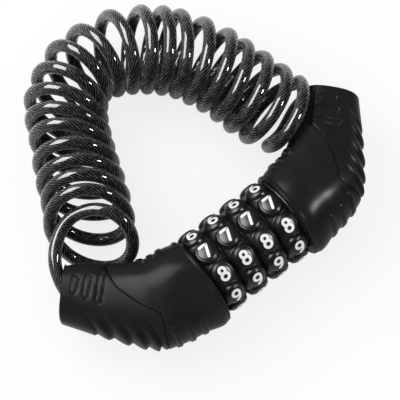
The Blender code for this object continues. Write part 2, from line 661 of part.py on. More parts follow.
def make_core(side, name, start, bore, bore_length, parent):
    """Metal core of a housing, bored for the barrel or the pin and for the cable's ferrule."""
    line, radii = core_line(side, start)
    core = add(name + "_core", tube_mesh(name + "_core", line, CORE_RADIUS, CORE_STEPS, radii), ZINC, parent)
    cut(core, rod_mesh(name + "_core_bore", bore + CLEARANCE, (side * (start - CORE_RADIUS), 0, 0),
                       (side * (start + bore_length + CLEARANCE), 0, 0)))
    front = -MOUTH_DEPTH
    back = front - FERRULE_LENGTH
    middle = (front + back) / 2
    reach = math.sqrt(CORE_END_RADIUS ** 2 - FERRULE_OFFSET ** 2)

    def spot(along, height):
        return mouth_point(side, along, -FERRULE_OFFSET, height)

    cut(core, rod_mesh(name + "_ferrule_bore", FERRULE_RADIUS + CLEARANCE, spot(back - CLEARANCE, 0.0),
                       spot(0.0, 0.0), FERRULE_STEPS))
    cut(core, cross_hole(name + "_core_hole", side * (start + bore_length / 2)))
    hole = (FERRULE_PIN_RADIUS + CLEARANCE, spot(middle, -2 * reach), spot(middle, 2 * reach),
            SMALL_PIN_STEPS)
    cut(core, rod_mesh(name + "_ferrule_pin_hole", *hole))
    sleeve = rod_mesh(name + "_ferrule", FERRULE_RADIUS, spot(back, 0.0), spot(front, 0.0), FERRULE_STEPS)
    ferrule = add(name + "_ferrule", sleeve, ALUMINIUM, parent)
    cut(ferrule, rod_mesh(name + "_ferrule_hole", *hole))
    end = reach - 2 * CLEARANCE
    pin = rod_mesh(name + "_ferrule_pin", FERRULE_PIN_RADIUS, spot(middle, -end), spot(middle, end),
                   SMALL_PIN_STEPS)
    add(name + "_ferrule_pin", pin, STEEL, parent)


def housing_rings(side):
    """Sections of a housing: ovals that turn from round to squarish, with ribs on the outer side."""
    at, chord = natural_spline(HOUSING)
    rows = np.arange(len(HOUSING))
    plain = np.arange(0.0, FIRST_RIB - 0.5, 0.5)
    ribbed = np.arange(FIRST_RIB - 0.5, LAST_RIB + 0.6, 0.25)
    index = np.concatenate((plain, ribbed, np.arange(LAST_RIB + 1.0, len(HOUSING) - 0.9, 0.5)))
    angle = 2 * math.pi * np.arange(HOUSING_STEPS) / HOUSING_STEPS
    rings = []
    for place, row in zip(index, at(np.interp(index, rows, chord))):
        outer = np.array((row[0], row[1], 0.0))
        inner = np.array((row[2], row[3], 0.0))
        share = place / (len(HOUSING) - 1)
        power = 2 / (COLLAR_SQUARENESS + (END_SQUARENESS - COLLAR_SQUARENESS) * share)
        wide = np.sign(np.cos(angle)) * np.abs(np.cos(angle)) ** power
        high = np.sign(np.sin(angle)) * np.abs(np.sin(angle)) ** power
        if FIRST_RIB - 0.5 < place < LAST_RIB + 0.6:
            wave = (1 - np.cos(2 * math.pi * (place - FIRST_RIB))) / 2
            depth = 2 * RIB_DEPTH / np.linalg.norm(outer - inner)
            wide = wide - wave * depth * np.clip(np.cos(angle), 0, 1) ** 1.5
        up = np.array((0.0, 0.0, row[4]))
        ring = (outer + inner) / 2 + wide[:, None] * (outer - inner) / 2 + high[:, None] * up
        ring[:, 0] *= side
        rings.append(ring)
    return rings


def seam_prism(side, shift):
    """The plan region beyond the seam between shell and boot, moved along X by shift."""
    seam = [(side * (STACK_HALF + x * MM + shift), y * MM) for x, y in SEAM_MM]
    far = side * (END_CENTRE[0] + 4 * COLLAR_RADIUS)
    outline = seam + [(far, seam[-1][1]), (far, seam[0][1])]
    return prism_mesh("boot_side", outline, -2 * COLLAR_RADIUS, 2 * COLLAR_RADIUS)


def make_housing(side, name, recess_end, core_start, parent):
    """Dial-side shell and cable-end boot of one housing, parted at the seam."""
    skin = housing_rings(side)
    shell = add(name + "_shell", loft_mesh(name + "_shell", skin), SHELL_BLACK, parent)
    boot = add(name + "_boot", loft_mesh(name + "_boot", skin), BOOT_BLACK, parent)
    cut(shell, seam_prism(side, -CLEARANCE / 2))
    cut(boot, seam_prism(side, CLEARANCE / 2), "INTERSECT")
    recess = ((side * (FACE_X - COLLAR_RADIUS), 0, 0), (side * recess_end, 0, 0))
    cut(shell, rod_mesh(name + "_recess", RECESS_RADIUS, *recess))
    pocket = core_pocket(side, core_start)
    cut(shell, pocket)
    cut(boot, pocket.copy())
    floor = -AXIS_HEIGHT
    far = 2 * END_CENTRE[0]
    cut(shell, box_mesh(name + "_foot_flat", (-far, -far, floor - COLLAR_RADIUS), (far, far, floor)))
    mouth_back = mouth_point(side, -MOUTH_DEPTH, 0.0, 0.0)
    mouth_front = mouth_point(side, COLLAR_RADIUS, 0.0, 0.0)
    mouth = rod_mesh(name + "_mouth", 1.0, mouth_back, mouth_front, HOUSING_STEPS)
    flatten(mouth, mouth_back, side)
    cut(boot, mouth)
    for piece in (shell, boot):
        smooth(piece.data)


def flatten(mesh, centre, side):
    """Brings a unit-radius mouth rod to the mouth's width and height."""
    across = Vector((side * END_ACROSS[0], END_ACROSS[1], 0.0))
    for vertex in mesh.vertices:
        offset = vertex.co - Vector(centre)
        sideways = offset.dot(across)
        wanted = sideways * MOUTH_WIDTH / 2
        vertex.co += across * (wanted - sideways)
        vertex.co.z *= MOUTH_HEIGHT / 2


def make_cable():
    """The coiled cable, one unbroken tube from ferrule to ferrule."""
    tube = tube_curve("coiled_cable", cable_points(), CABLE_DIAMETER / 2, CABLE_SIDES)
    add("coiled_cable", tube, SMOKED_JACKET)


def main():
    make_dials()
    make_barrel()
    make_lock_pin()
    make_core(1, "right", RIGHT_CORE_START, BARREL_TAIL_RADIUS, BARREL_TAIL_LENGTH, LOCK_AXIS)
    make_core(-1, "left", LEFT_CORE_START, PIN_RADIUS, PIN_TAIL_LENGTH, PIN_AXIS)
    make_housing(1, "right", FLANGE_END + CLEARANCE, RIGHT_CORE_START, LOCK_AXIS)
    make_housing(-1, "left", NECK_TIP + CLEARANCE, LEFT_CORE_START, PIN_AXIS)
    make_cable()


main()
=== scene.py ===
"""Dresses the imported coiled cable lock: the cable, the two housings, the dials and the studio stage."""

import json
import math

import bpy
import numpy as np
from bpy.props import FloatProperty, FloatVectorProperty, IntProperty, PointerProperty
from mathutils import Matrix, Vector


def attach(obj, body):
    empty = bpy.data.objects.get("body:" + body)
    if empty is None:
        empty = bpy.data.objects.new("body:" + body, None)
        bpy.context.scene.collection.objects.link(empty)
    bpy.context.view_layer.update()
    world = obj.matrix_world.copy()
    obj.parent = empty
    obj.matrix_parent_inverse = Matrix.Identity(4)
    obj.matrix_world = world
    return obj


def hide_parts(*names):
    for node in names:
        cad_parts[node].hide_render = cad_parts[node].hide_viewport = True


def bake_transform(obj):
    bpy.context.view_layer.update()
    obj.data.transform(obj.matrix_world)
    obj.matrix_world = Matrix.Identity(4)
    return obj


bl_info = {
    "name": "Coiled Cable Lock",
    "version": (1, 0, 0),
    "blender": (4, 5, 0),
    "location": "3D View > Sidebar > Cable Lock",
    "description": "Builds the visible pieces of a four-dial lock on a coiled cable",
    "category": "Add Mesh",
}

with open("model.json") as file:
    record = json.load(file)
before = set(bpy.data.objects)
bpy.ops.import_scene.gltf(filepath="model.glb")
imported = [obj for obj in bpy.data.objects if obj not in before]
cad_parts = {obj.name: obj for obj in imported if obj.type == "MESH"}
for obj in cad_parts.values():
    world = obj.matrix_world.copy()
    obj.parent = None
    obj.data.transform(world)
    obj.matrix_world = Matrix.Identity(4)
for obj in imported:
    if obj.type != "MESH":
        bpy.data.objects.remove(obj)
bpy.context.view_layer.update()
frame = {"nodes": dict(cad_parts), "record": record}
MM = 0.001
DIAL_JOINTS = [j for j in frame["record"]["behaviour"]["joints"] if j["type"] == "hinge"]
LOCK_AXIS = np.array((0.0, DIAL_JOINTS[0]["pos_m"][1], DIAL_JOINTS[0]["pos_m"][2]))

# Dials and the space between the housings.
DIAL_WIDTH = 0.0072
NUMBERS = 10
FIRST_PAD = math.radians(13.0)
FIRST_NUMBER = 7
DIAL_EDGE_RADIUS = 0.01030
DIAL_CROWN_RADIUS = 0.01190
CROWN_POWER = 2.0
PAD_POWER = 2.0
PAD_EDGE_RADIUS = 0.01205
PAD_DOME = 0.00100
DOME_POWER = 3.0
PAD_GROOVE = 0.00009
PAD_GROOVE_SHARE = 0.80
PAD_GROOVE_WIDTH = 0.05
PAD_HALF_ROUND = 0.00398
PAD_HALF_WIDE = 0.00335
NUMBER_RISE = 0.00003
NUMBER_DEPTH = 0.00040
PAD_FALL = (1.16, 0.86)
PAD_REACH = 1.2
FLANK_STEP = 0.0002
FLANK_SHARE = 0.7
BORE_HALF_SHARE = 0.4
CROWN_ROWS = 81
DIAL_COLUMNS = 720
DIAL_SHARP = 75.0
# Round ends of a number's strokes: angles of the steps, reach and power of the narrowing.
ROUND_END_DEGREES = (25.0, 50.0, 75.0)
ROUND_END_REACH = 0.6
ROUND_END_POWER = 0.7
BORE_RADIUS = 0.00985
STACK_HALF = 0.0150
FACE_X = 0.01515

# Housings: each row is one section, from the dials to the cable's end, as in the part's source.
COLLAR_RADIUS = 0.01360
HOUSING_SECTIONS_MM = (
    (0.15, 0.30, 0.15, -1.00, 0.2),
    (2.00, -0.80, 1.90, -0.10, 0.0),
    (7.40, 0.40, 5.60, 0.70, 0.1),
    (11.50, 1.10, 8.40, 0.90, 0.5),
    (15.60, 2.00, 11.20, 1.70, 1.1),
    (19.50, 3.20, 14.00, 3.30, 1.8),
    (22.20, 4.50, 16.40, 5.10, 2.5),
    (25.00, 7.30, 19.00, 7.00, 3.2),
    (28.20, 11.30, 21.60, 9.00, 3.9),
    (31.60, 16.00, 23.80, 10.70, 4.5),
    (35.40, 21.80, 26.00, 12.00, 5.0),
    (39.30, 27.60, 28.00, 12.90, 5.4),
)
COLLAR_SQUARENESS = 2.0
END_SQUARENESS = 2.5
BEND = math.radians(45.0)
# Ribs: section numbers between which they come and go, share of the width they reach, and their form.
RIBS_START = (5.0, 5.5)
RIBS_END = (9.55, 9.3)
RIB_REACH = (0.25, 0.8)
RIB_NOTCH_SHARE = 0.45
RIB_POWER = 1.6
SEAM_MM = ((19.3, 30.0), (19.3, 20.6), (20.6, 16.1), (21.5, 10.5), (19.3, 2.5), (16.4, -3.4),
           (18.2, -7.6), (19.8, -11.0), (20.6, -30.0))
SEAM_FROM = -0.022
SEAM_TO = 0.030
SEAM_STEPS = 521
SEAM_MEAN_STEPS = 17
SEAM_FALL_POWER = 24
SEAM_TUCK = 0.012
SEAM_SEARCH_STEPS = 1101
RECESS_RADIUS = 0.0111
RECESS_ROUND = 0.0003
RECESS_END = {1: 0.01785, -1: 0.01865}
POCKET_RADIUS = 0.0076
MOUTH_WALL = 0.0018
MOUTH_DEPTH = 0.0103
MOUTH_FLOOR_RADIUS = 0.0058
MOUTH_FLOOR_ROUND = 0.0004
MOUTH_FLOOR_RISE = 0.0005
RIM_ROUND = 0.0002
RIM_DEPTH = 0.0004
HOLE_STEP = 0.0020
# Skins: rows and columns, the section number that the rounded ends take, and shares of the way inwards.
SHELL_ROWS = 150
SHELL_COLUMNS = 200
BOOT_ROWS = 190
BOOT_COLUMNS = 240
END_ROUND = 0.06
LIP_SHARE = 0.03
FACE_SHARE = 0.025
RIM_SHARE = 0.035
SHELL_EDGE_SHARE = 0.16
SHELL_WALL_SHARE = 0.30
SHELL_BACK_ROWS = (-1, -40, -80, 60)
BOOT_WALL_SHARE = 0.20
BOOT_BACK_ROWS = (60, 20, 0)
# Slots on top of a boot: middle in X and Y from the lock's axis, and length.
SLOTS_MM = ((45.2, 18.5, 5.2), (42.8, 15.9, 6.8), (40.3, 13.2, 8.8))
SLOT_HALF_WIDE = 0.0009
SLOT_LINE = 0.0002
SLOT_FLOOR_SHARE = 0.4
# Grip bars on a shell's outer and inner side, in X.
OUTER_BARS_MM = (23.3, 27.3, 31.3)
INNER_BARS_MM = (20.6, 23.4, 26.2)
BAR_HALF_HIGH = 0.0082
BAR_HALF_WIDE = 0.0008
BAR_RISE = 0.00050
BAR_FOOT = 1.2 * BAR_HALF_WIDE
BAR_TOP = 0.6 * BAR_HALF_WIDE
BAND_EDGE_SHARE = 0.06
RELIEF_START = 0.0020
# Bead round the end of a shell next to the dials.
BEAD_RISE = 0.00030
BEAD_PLACE = 0.0007
BEAD_WIDTH = 0.00032

# Cable: its route is the part's own, turn by turn.
COIL_RADIUS = 0.0111
COIL_HEIGHT = -0.0002
FIRST_TILT = 0.0065
FIRST_TILT_TURNS = 2.2
LAST_TILT = 0.0060
LAST_TILT_TURNS = 9.0
POINTS_PER_TURN = 9
FERRULE_OFFSET = 0.0020
CLEARANCE = 0.0003
LEAD_OUT = 0.0036
LEAD_ACROSS = 0.0012
LEFT_LEAD_RISE = 0.0001
RIGHT_LEAD_RISE = -0.0013
# Where the cable passes from following one housing to the other: reach in X, and Y.
OUTER_PLACES_MM = ((-40.4, 38.0), (-37.1, 43.8), (-34.8, 49.3), (-32.0, 55.1), (-28.4, 61.9), (-25.9, 67.4),
                   (-22.4, 72.9), (-16.5, 77.5), (-8.8, 81.2), (-0.3, 82.2), (10.3, 80.9), (19.4, 76.5),
                   (24.8, 72.3), (28.4, 68.5), (32.7, 62.2), (36.4, 54.9), (38.3, 49.2), (40.3, 42.8),
                   (41.9, 36.4), (43.4, 29.7))
INNER_PLACES_MM = ((-23.6, 21.1), (-20.5, 27.3), (-17.7, 33.1), (-15.6, 38.5), (-14.0, 43.2), (-12.3, 47.6),
                   (-10.6, 51.7), (-8.7, 55.6), (-6.2, 59.1), (-2.75, 61.65), (1.45, 60.6), (5.1, 58.35),
                   (8.45, 55.65), (11.6, 52.6), (14.2, 49.05), (16.0, 45.0), (17.7, 40.6), (19.1, 35.6),
                   (20.1, 30.4), (21.9, 24.7), (25.1, 18.9))
LEFT_LEAD_MM = ((-47.3, 23.5, 0.4), (-45.8, 27.9, 1.0), (-43.1, 31.6, 1.8), (-39.4, 34.3, 3.0),
                (-35.2, 35.5, 4.6), (-31.2, 34.7, 6.4), (-27.4, 32.2, 8.2), (-24.7, 28.6, 8.6),
                (-23.4, 24.8, 7.2), (-23.6, 21.4, 4.2), (-25.4, 19.0, -0.6), (-28.4, 18.6, -5.6),
                (-32.4, 20.6, -9.6), (-36.2, 24.4, -11.1), (-39.2, 29.2, -10.4), (-40.8, 33.8, -6.4))
RIGHT_LEAD_MM = ((43.0, 28.0, 5.0), (41.0, 24.4, 9.0), (37.4, 20.8, 11.2), (33.2, 18.2, 11.4),
                 (29.0, 16.8, 9.8), (25.8, 16.9, 6.2), (24.6, 18.4, 1.6), (25.2, 20.2, -3.2),
                 (27.8, 21.4, -7.6), (32.4, 22.6, -10.6), (37.6, 24.8, -11.2), (42.4, 26.6, -10.6),
                 (46.5, 26.3, -8.8), (49.0, 23.8, -5.6), (48.6, 21.0, -2.9))
CABLE_RINGS = 1500
CABLE_SIDES = 18

# Camera: where it stands from the lock's axis, where it looks and the lens that fits the picture.
CAMERA_PLACE = (-0.0715, -0.0720, 0.3770)
CAMERA_RIGHT = (0.790, -0.613, 0.0)
CAMERA_FORWARD = (0.178, 0.230, -0.957)
CAMERA_LENS = 123.1
SENSOR_WIDTH = 36.0
CLIP_START = 0.01

# Studio: the lamps' places from the point they look at, their widths and heights, and the floor.
LAMP_TARGET = (0.0, 0.02, 0.01)
KEY_PLACE = (-0.15, 0.27, 0.33)
KEY_SIZE = (0.40, 0.28)
STREAK_PLACE = (-0.1455, 0.2619, 0.3201)
STREAK_SIZE = (0.388, 0.272)
SIDE_PLACE = (0.140, -0.135, 0.172)
SIDE_SIZE = (0.042, 0.042)
FLOOR_REACH = 1.5
WHITE = (1.0, 1.0, 1.0, 1.0)
# Surroundings that gloss shows: direction of the bright side, least and most light, and where they lie.
BRIGHT_SIDE = (-0.5, 0.866, 0.0)
GLOSS_LEVELS = (0.02, 0.7)
GLOSS_SIDES = (-0.25, 0.9)

# Plastics: least and most roughness, strength of the grain, and gleam.
SHELL_FINISH = (0.20, 0.26, 0.10, 0.04)
BOOT_FINISH = (0.26, 0.34, 0.20, 0.04)
DIAL_FINISH = (0.28, 0.34, 0.05, 0.25)
# Bare metals by the part's material slot: finish, colour, least and most roughness, stretch of the streaks.
METALS = {
    "zinc": ("cast_zinc", (0.50, 0.50, 0.51), 0.35, 0.55, (1.0, 1.0, 1.0)),
    "steel": ("turned_steel", (0.60, 0.60, 0.61), 0.20, 0.40, (8.0, 1.0, 1.0)),
    "aluminium": ("crimped_aluminium", (0.72, 0.72, 0.73), 0.30, 0.50, (4.0, 1.0, 1.0)),
}


def housing_table():
    """The housing's sections in metres: outer x and y, inner x and y, half height."""
    rows = np.array(HOUSING_SECTIONS_MM) * MM
    start = (STACK_HALF, -COLLAR_RADIUS, STACK_HALF, COLLAR_RADIUS, COLLAR_RADIUS)
    return np.array(start) + rows * (1, 1, 1, 1, -1)


HOUSING = housing_table()
END_PLACE = len(HOUSING) - 1
END_CENTRE = np.array(((HOUSING[-1, 0] + HOUSING[-1, 2]) / 2, (HOUSING[-1, 1] + HOUSING[-1, 3]) / 2, 0.0))
END_DIRECTION = np.array((math.cos(BEND), math.sin(BEND), 0.0))
END_ACROSS = np.array((-math.sin(BEND), math.cos(BEND), 0.0))
MOUTH_HALF_WIDE = np.hypot(HOUSING[-1, 0] - HOUSING[-1, 2], HOUSING[-1, 1] - HOUSING[-1, 3]) / 2 - MOUTH_WALL
MOUTH_HALF_HIGH = HOUSING[-1, 4] - MOUTH_WALL


class CableSettings(bpy.types.PropertyGroup):
    """Sizes and colours of the coiled cable."""
    diameter: FloatProperty(name="Jacket diameter", description="Outside diameter of the clear jacket",
                            default=0.0038, unit="LENGTH")
    strands: IntProperty(name="Strands", description="Strands of the steel rope that show round the cable",
                         default=14, min=3, max=24)
    lay: FloatProperty(name="Lay length", description="Length of cable in which a strand goes once round",
                       default=0.0180, unit="LENGTH")
    drift: FloatProperty(name="Strand drift", description="How far strands stray, as a share of a turn",
                         default=0.05, subtype="FACTOR")
    # The groove colour is painted shade in the grooves between the rope's strands.
    groove: FloatVectorProperty(name="Groove colour", description="Dark lines between the strands",
                                default=(0.003, 0.003, 0.0033), subtype="COLOR")
    strand: FloatVectorProperty(name="Strand colour", description="Steel seen through the smoked jacket",
                                default=(0.16, 0.16, 0.164), subtype="COLOR")


class HousingSettings(bpy.types.PropertyGroup):
    """Sizes and colours of the two housings."""
    shell: FloatVectorProperty(name="Shell colour", description="Black plastic next to the dials",
                               default=(0.0145, 0.0145, 0.015), subtype="COLOR")
    boot: FloatVectorProperty(name="Boot colour", description="Black plastic round the cable's end",
                              default=(0.014, 0.014, 0.0145), subtype="COLOR")
    rib_depth: FloatProperty(name="Rib depth", description="Depth of the notches between the outer ribs",
                             default=0.0013, unit="LENGTH")
    slot_depth: FloatProperty(name="Slot depth", description="Depth of the three slots on a boot",
                              default=0.00025, unit="LENGTH")
    seam: FloatProperty(name="Seam", description="Width of the gap between shell and boot",
                        default=0.0003, unit="LENGTH")
    band: FloatProperty(name="Edge band", description="Width of the stepped band along the inner edge",
                        default=0.0030, unit="LENGTH")
    band_drop: FloatProperty(name="Edge band drop", description="How far the band steps down",
                             default=0.0007, unit="LENGTH")


class DialSettings(bpy.types.PropertyGroup):
    """Sizes and colours of the dials and their numbers."""
    dial: FloatVectorProperty(name="Dial colour", description="Gloss black plastic of the dials",
                              default=(0.008, 0.008, 0.0085), subtype="COLOR")
    ink: FloatVectorProperty(name="Number colour", description="White of the numbers",
                             default=(0.86, 0.86, 0.85), subtype="COLOR")
    height: FloatProperty(name="Number height", description="Height of a number",
                          default=0.0047, unit="LENGTH")
    stroke: FloatProperty(name="Number stroke", description="Thickness of its line, as a share of its height",
                          default=0.175, subtype="FACTOR")


class StageSettings(bpy.types.PropertyGroup):
    """Floor, lights and surroundings."""
    floor: FloatVectorProperty(name="Floor colour", description="Pale floor under the lock",
                               default=(0.94, 0.94, 0.94), subtype="COLOR")
    whiteness: FloatProperty(name="Floor whiteness", description="Share that is plain white to the camera",
                             default=0.8, subtype="FACTOR")
    key: FloatProperty(name="Key light", description="Power of the lamp behind the coil",
                       default=0.9, unit="POWER")
    streak: FloatProperty(name="Streak light", description="Power of the same lamp in gloss alone",
                          default=6.0, unit="POWER")
    side: FloatProperty(name="Side light", description="Power of the small lamp by the right housing",
                        default=0.75, unit="POWER")
    ambient: FloatProperty(name="Ambient", description="Strength of the light from all round", default=0.8)


def natural_spline(points, places=None):
    """A natural cubic through the points as a function of place, and the points' places.

    The places are chord lengths from the first point unless others are given.
    """
    points = np.asarray(points, float)
    if places is None:
        places = np.concatenate(([0.0], np.cumsum(np.linalg.norm(np.diff(points, axis=0), axis=1))))
    step = np.diff(places)
    count = len(points)
    system = np.eye(count)
    right_side = np.zeros_like(points)
    slope = np.diff(points, axis=0) / step[:, None]
    middle = np.arange(1, count - 1)
    system[middle, middle - 1] = step[:-1]
    system[middle, middle] = 2 * (step[:-1] + step[1:])
    system[middle, middle + 1] = step[1:]
    right_side[1:-1] = 6 * np.diff(slope, axis=0)
    bend = np.linalg.solve(system, right_side)

    def at(where):
        where = np.asarray(where, float)
        i = np.clip(np.searchsorted(places, where, side="right") - 1, 0, count - 2)
        after = (where - places[i])[..., None]
        before = (places[i + 1] - where)[..., None]
        length = step[i][..., None]
        cubic = (bend[i] * before ** 3 + bend[i + 1] * after ** 3) / (6 * length)
        first = (points[i] / length - bend[i] * length / 6) * before
        second = (points[i + 1] / length - bend[i + 1] * length / 6) * after
        return cubic + first + second

    return at, places


def along_curve(at, whole, count):
    """Evenly spaced points on a smooth curve and the distance to each along it."""
    fine = np.linspace(0.0, whole, 20 * count)
    dense = at(fine)
    run = np.concatenate(([0.0], np.cumsum(np.linalg.norm(np.diff(dense, axis=0), axis=1))))
    even = np.linspace(0.0, run[-1], count)
    return at(np.interp(even, run, fine)), even


def smooth_step(low, high, value):
    """Rises from 0 at low to 1 at high with level ends, as 3t^2 - 2t^3; low may be above high."""
    share = np.clip((value - low) / (high - low), 0.0, 1.0)
    return share * share * (3 - 2 * share)


def grid_quads(rows, columns, round_rows=True):
    """Corner numbers of the quads of a grid whose columns go round, and its rows too unless told not to."""
    number = np.arange(rows * columns).reshape(rows, columns)
    beside = np.roll(number, -1, axis=1)
    below = np.roll(number, -1, axis=0)
    across = np.roll(beside, -1, axis=0)
    quads = np.stack((number, beside, across, below), axis=-1)
    if not round_rows:
        quads = quads[:-1]
    return quads.reshape(-1, 4)


def mesh_piece(name, points, quads, finish, caps=(), uv=None, sharp=40.0):
    """One object from arrays of points, quads and flat end caps, moved from the lock's axis to its place."""
    mesh = bpy.data.meshes.new(name)
    points = np.asarray(points, float).reshape(-1, 3) + LOCK_AXIS
    loops = np.concatenate([quads.ravel(), *[np.asarray(cap).ravel() for cap in caps]])
    sizes = np.concatenate((np.full(len(quads), 4), np.array([len(cap) for cap in caps], int)))
    mesh.vertices.add(len(points))
    mesh.vertices.foreach_set("co", points.ravel())
    mesh.loops.add(len(loops))
    mesh.loops.foreach_set("vertex_index", loops.astype(np.int32))
    mesh.polygons.add(len(sizes))
    mesh.polygons.foreach_set("loop_start", np.concatenate(([0], np.cumsum(sizes)[:-1])).astype(np.int32))
    mesh.update(calc_edges=True)
    if mesh.validate():
        raise RuntimeError(name + ": the mesh had broken faces")
    if uv is not None:
        layer = mesh.uv_layers.new(name="along_and_round")
        layer.data.foreach_set("uv", np.asarray(uv, float).ravel())
    mesh.shade_smooth()
    mesh.set_sharp_from_angle(angle=math.radians(sharp))
    mesh.materials.append(finish)
    piece = bpy.data.objects.new(name, mesh)
    bpy.context.scene.collection.objects.link(piece)
    return piece


def joined(parts):
    """Several (points, quads, caps) sets as one, with the corner numbers moved on."""
    starts = np.concatenate(([0], np.cumsum([len(points) for points, _, _ in parts])[:-1]))
    points = np.concatenate([points for points, _, _ in parts])
    quads = np.concatenate([quads + start for (_, quads, _), start in zip(parts, starts)])
    caps = [np.asarray(cap) + start for (_, _, caps), start in zip(parts, starts) for cap in caps]
    return points, quads, caps


def grid_normals(points):
    """Unit normals of a grid whose columns go round: the cross product of its two slopes."""
    down = np.gradient(points, axis=0)
    beside = np.roll(points, -1, axis=1) - np.roll(points, 1, axis=1)
    normal = np.cross(beside, down)
    normal /= np.maximum(np.linalg.norm(normal, axis=-1, keepdims=True), 1e-12)
    outward = points - points.mean(axis=1, keepdims=True)
    return normal * np.sign((normal * outward).sum(axis=-1, keepdims=True))


def feed(node, feeds=(), **settings):
    """Sets a node's own values or, with underscores for spaces, its sockets; then feeds sockets from pairs.

    A pair is a socket and its source, which is another node's output or a plain value.
    """
    for key, value in settings.items():
        if hasattr(node, key):
            setattr(node, key, value)
        else:
            node.inputs[key.replace("_", " ")].default_value = value
    for socket, source in feeds:
        if isinstance(source, bpy.types.NodeSocket):
            node.id_data.links.new(source, node.inputs[socket])
        else:
            node.inputs[socket].default_value = source
    return node


def node_adder(tree):
    """A function that adds a node of a kind to a tree and feeds it."""

    def add(kind, feeds=(), **settings):
        return feed(tree.nodes.new(kind), feeds, **settings)

    return add


def new_finish(name):
    """An empty node material, its shader and a function that adds nodes to it."""
    material = bpy.data.materials.new(name)
    material.use_nodes = True
    tree = material.node_tree
    return material, tree.nodes["Principled BSDF"], node_adder(tree)


def toned(colour, share):
    """A colour made darker or paler by a share."""
    return tuple(share * c for c in colour)


def colour_ramp(add, source, stops):
    """The colour of a ramp that a source runs along, from (place, colour) stops."""
    node = add("ShaderNodeValToRGB", [("Fac", source)])
    band = node.color_ramp
    while len(band.elements) < len(stops):
        band.elements.new(0.5)
    for element, (place, colour) in zip(band.elements, stops):
        element.position = place
        element.color = (*colour, 1.0)
    return node.outputs["Color"]


def in_range(add, source, low, high, start=0.0, end=1.0, **settings):
    """A value that goes from low to high while its source goes from start to end."""
    node = add("ShaderNodeMapRange", [("Value", source)], **settings)
    return feed(node, From_Min=start, From_Max=end, To_Min=low, To_Max=high).outputs["Result"]


def noise(add, place, scale, detail):
    """Cloudy noise of a given fineness, at a place."""
    return add("ShaderNodeTexNoise", [("Vector", place)], Scale=scale, Detail=detail).outputs["Fac"]


def sums(add, operation, *values):
    """One step of arithmetic on sources and plain values."""
    return add("ShaderNodeMath", list(enumerate(values)), operation=operation).outputs[0]


def moulded_plastic(name, colour, low, high, grain, gleam):
    """Black moulded plastic: faint cloudy colour, uneven gloss and a fine moulded grain."""
    material, shader, add = new_finish(name)
    place = add("ShaderNodeTexCoord").outputs["Object"]
    cloud = noise(add, place, 140.0, 4.0)
    shade = colour_ramp(add, cloud, ((0.3, toned(colour, 0.82)), (0.7, toned(colour, 1.2))))
    fine = noise(add, place, 2600.0, 2.0)
    bump = add("ShaderNodeBump", [("Height", fine)], Strength=grain, Distance=0.00004)
    feed(shader, [("Base Color", shade), ("Roughness", in_range(add, cloud, low, high, 0.3, 0.7)),
                  ("Normal", bump.outputs["Normal"])], Specular_IOR_Level=gleam)
    return material


def bare_metal(name, colour, low, high, stretch):
    """Bare metal: streaks drawn out along one direction vary its colour, gloss and fine relief."""
    material, shader, add = new_finish(name)
    place = add("ShaderNodeTexCoord").outputs["Object"]
    drawn = add("ShaderNodeMapping", [("Vector", place)], Scale=stretch).outputs["Vector"]
    streak = noise(add, drawn, 1500.0, 3.0)
    shade = colour_ramp(add, streak, ((0.3, toned(colour, 0.8)), (0.7, colour)))
    bump = add("ShaderNodeBump", [("Height", streak)], Strength=0.15, Distance=0.00003)
    feed(shader, [("Base Color", shade), ("Roughness", in_range(add, streak, low, high)),
                  ("Normal", bump.outputs["Normal"])], Metallic=1.0)
    return material


def printed_ink(name, colour):
    """White printed numbers: a faint mottle in colour and gloss."""
    material, shader, add = new_finish(name)
    mottle = noise(add, add("ShaderNodeTexCoord").outputs["Object"], 1800.0, 2.0)
    shade = colour_ramp(add, mottle, ((0.3, toned(colour, 0.94)), (0.7, colour)))
    feed(shader, [("Base Color", shade), ("Roughness", in_range(add, mottle, 0.35, 0.5))])
    return material


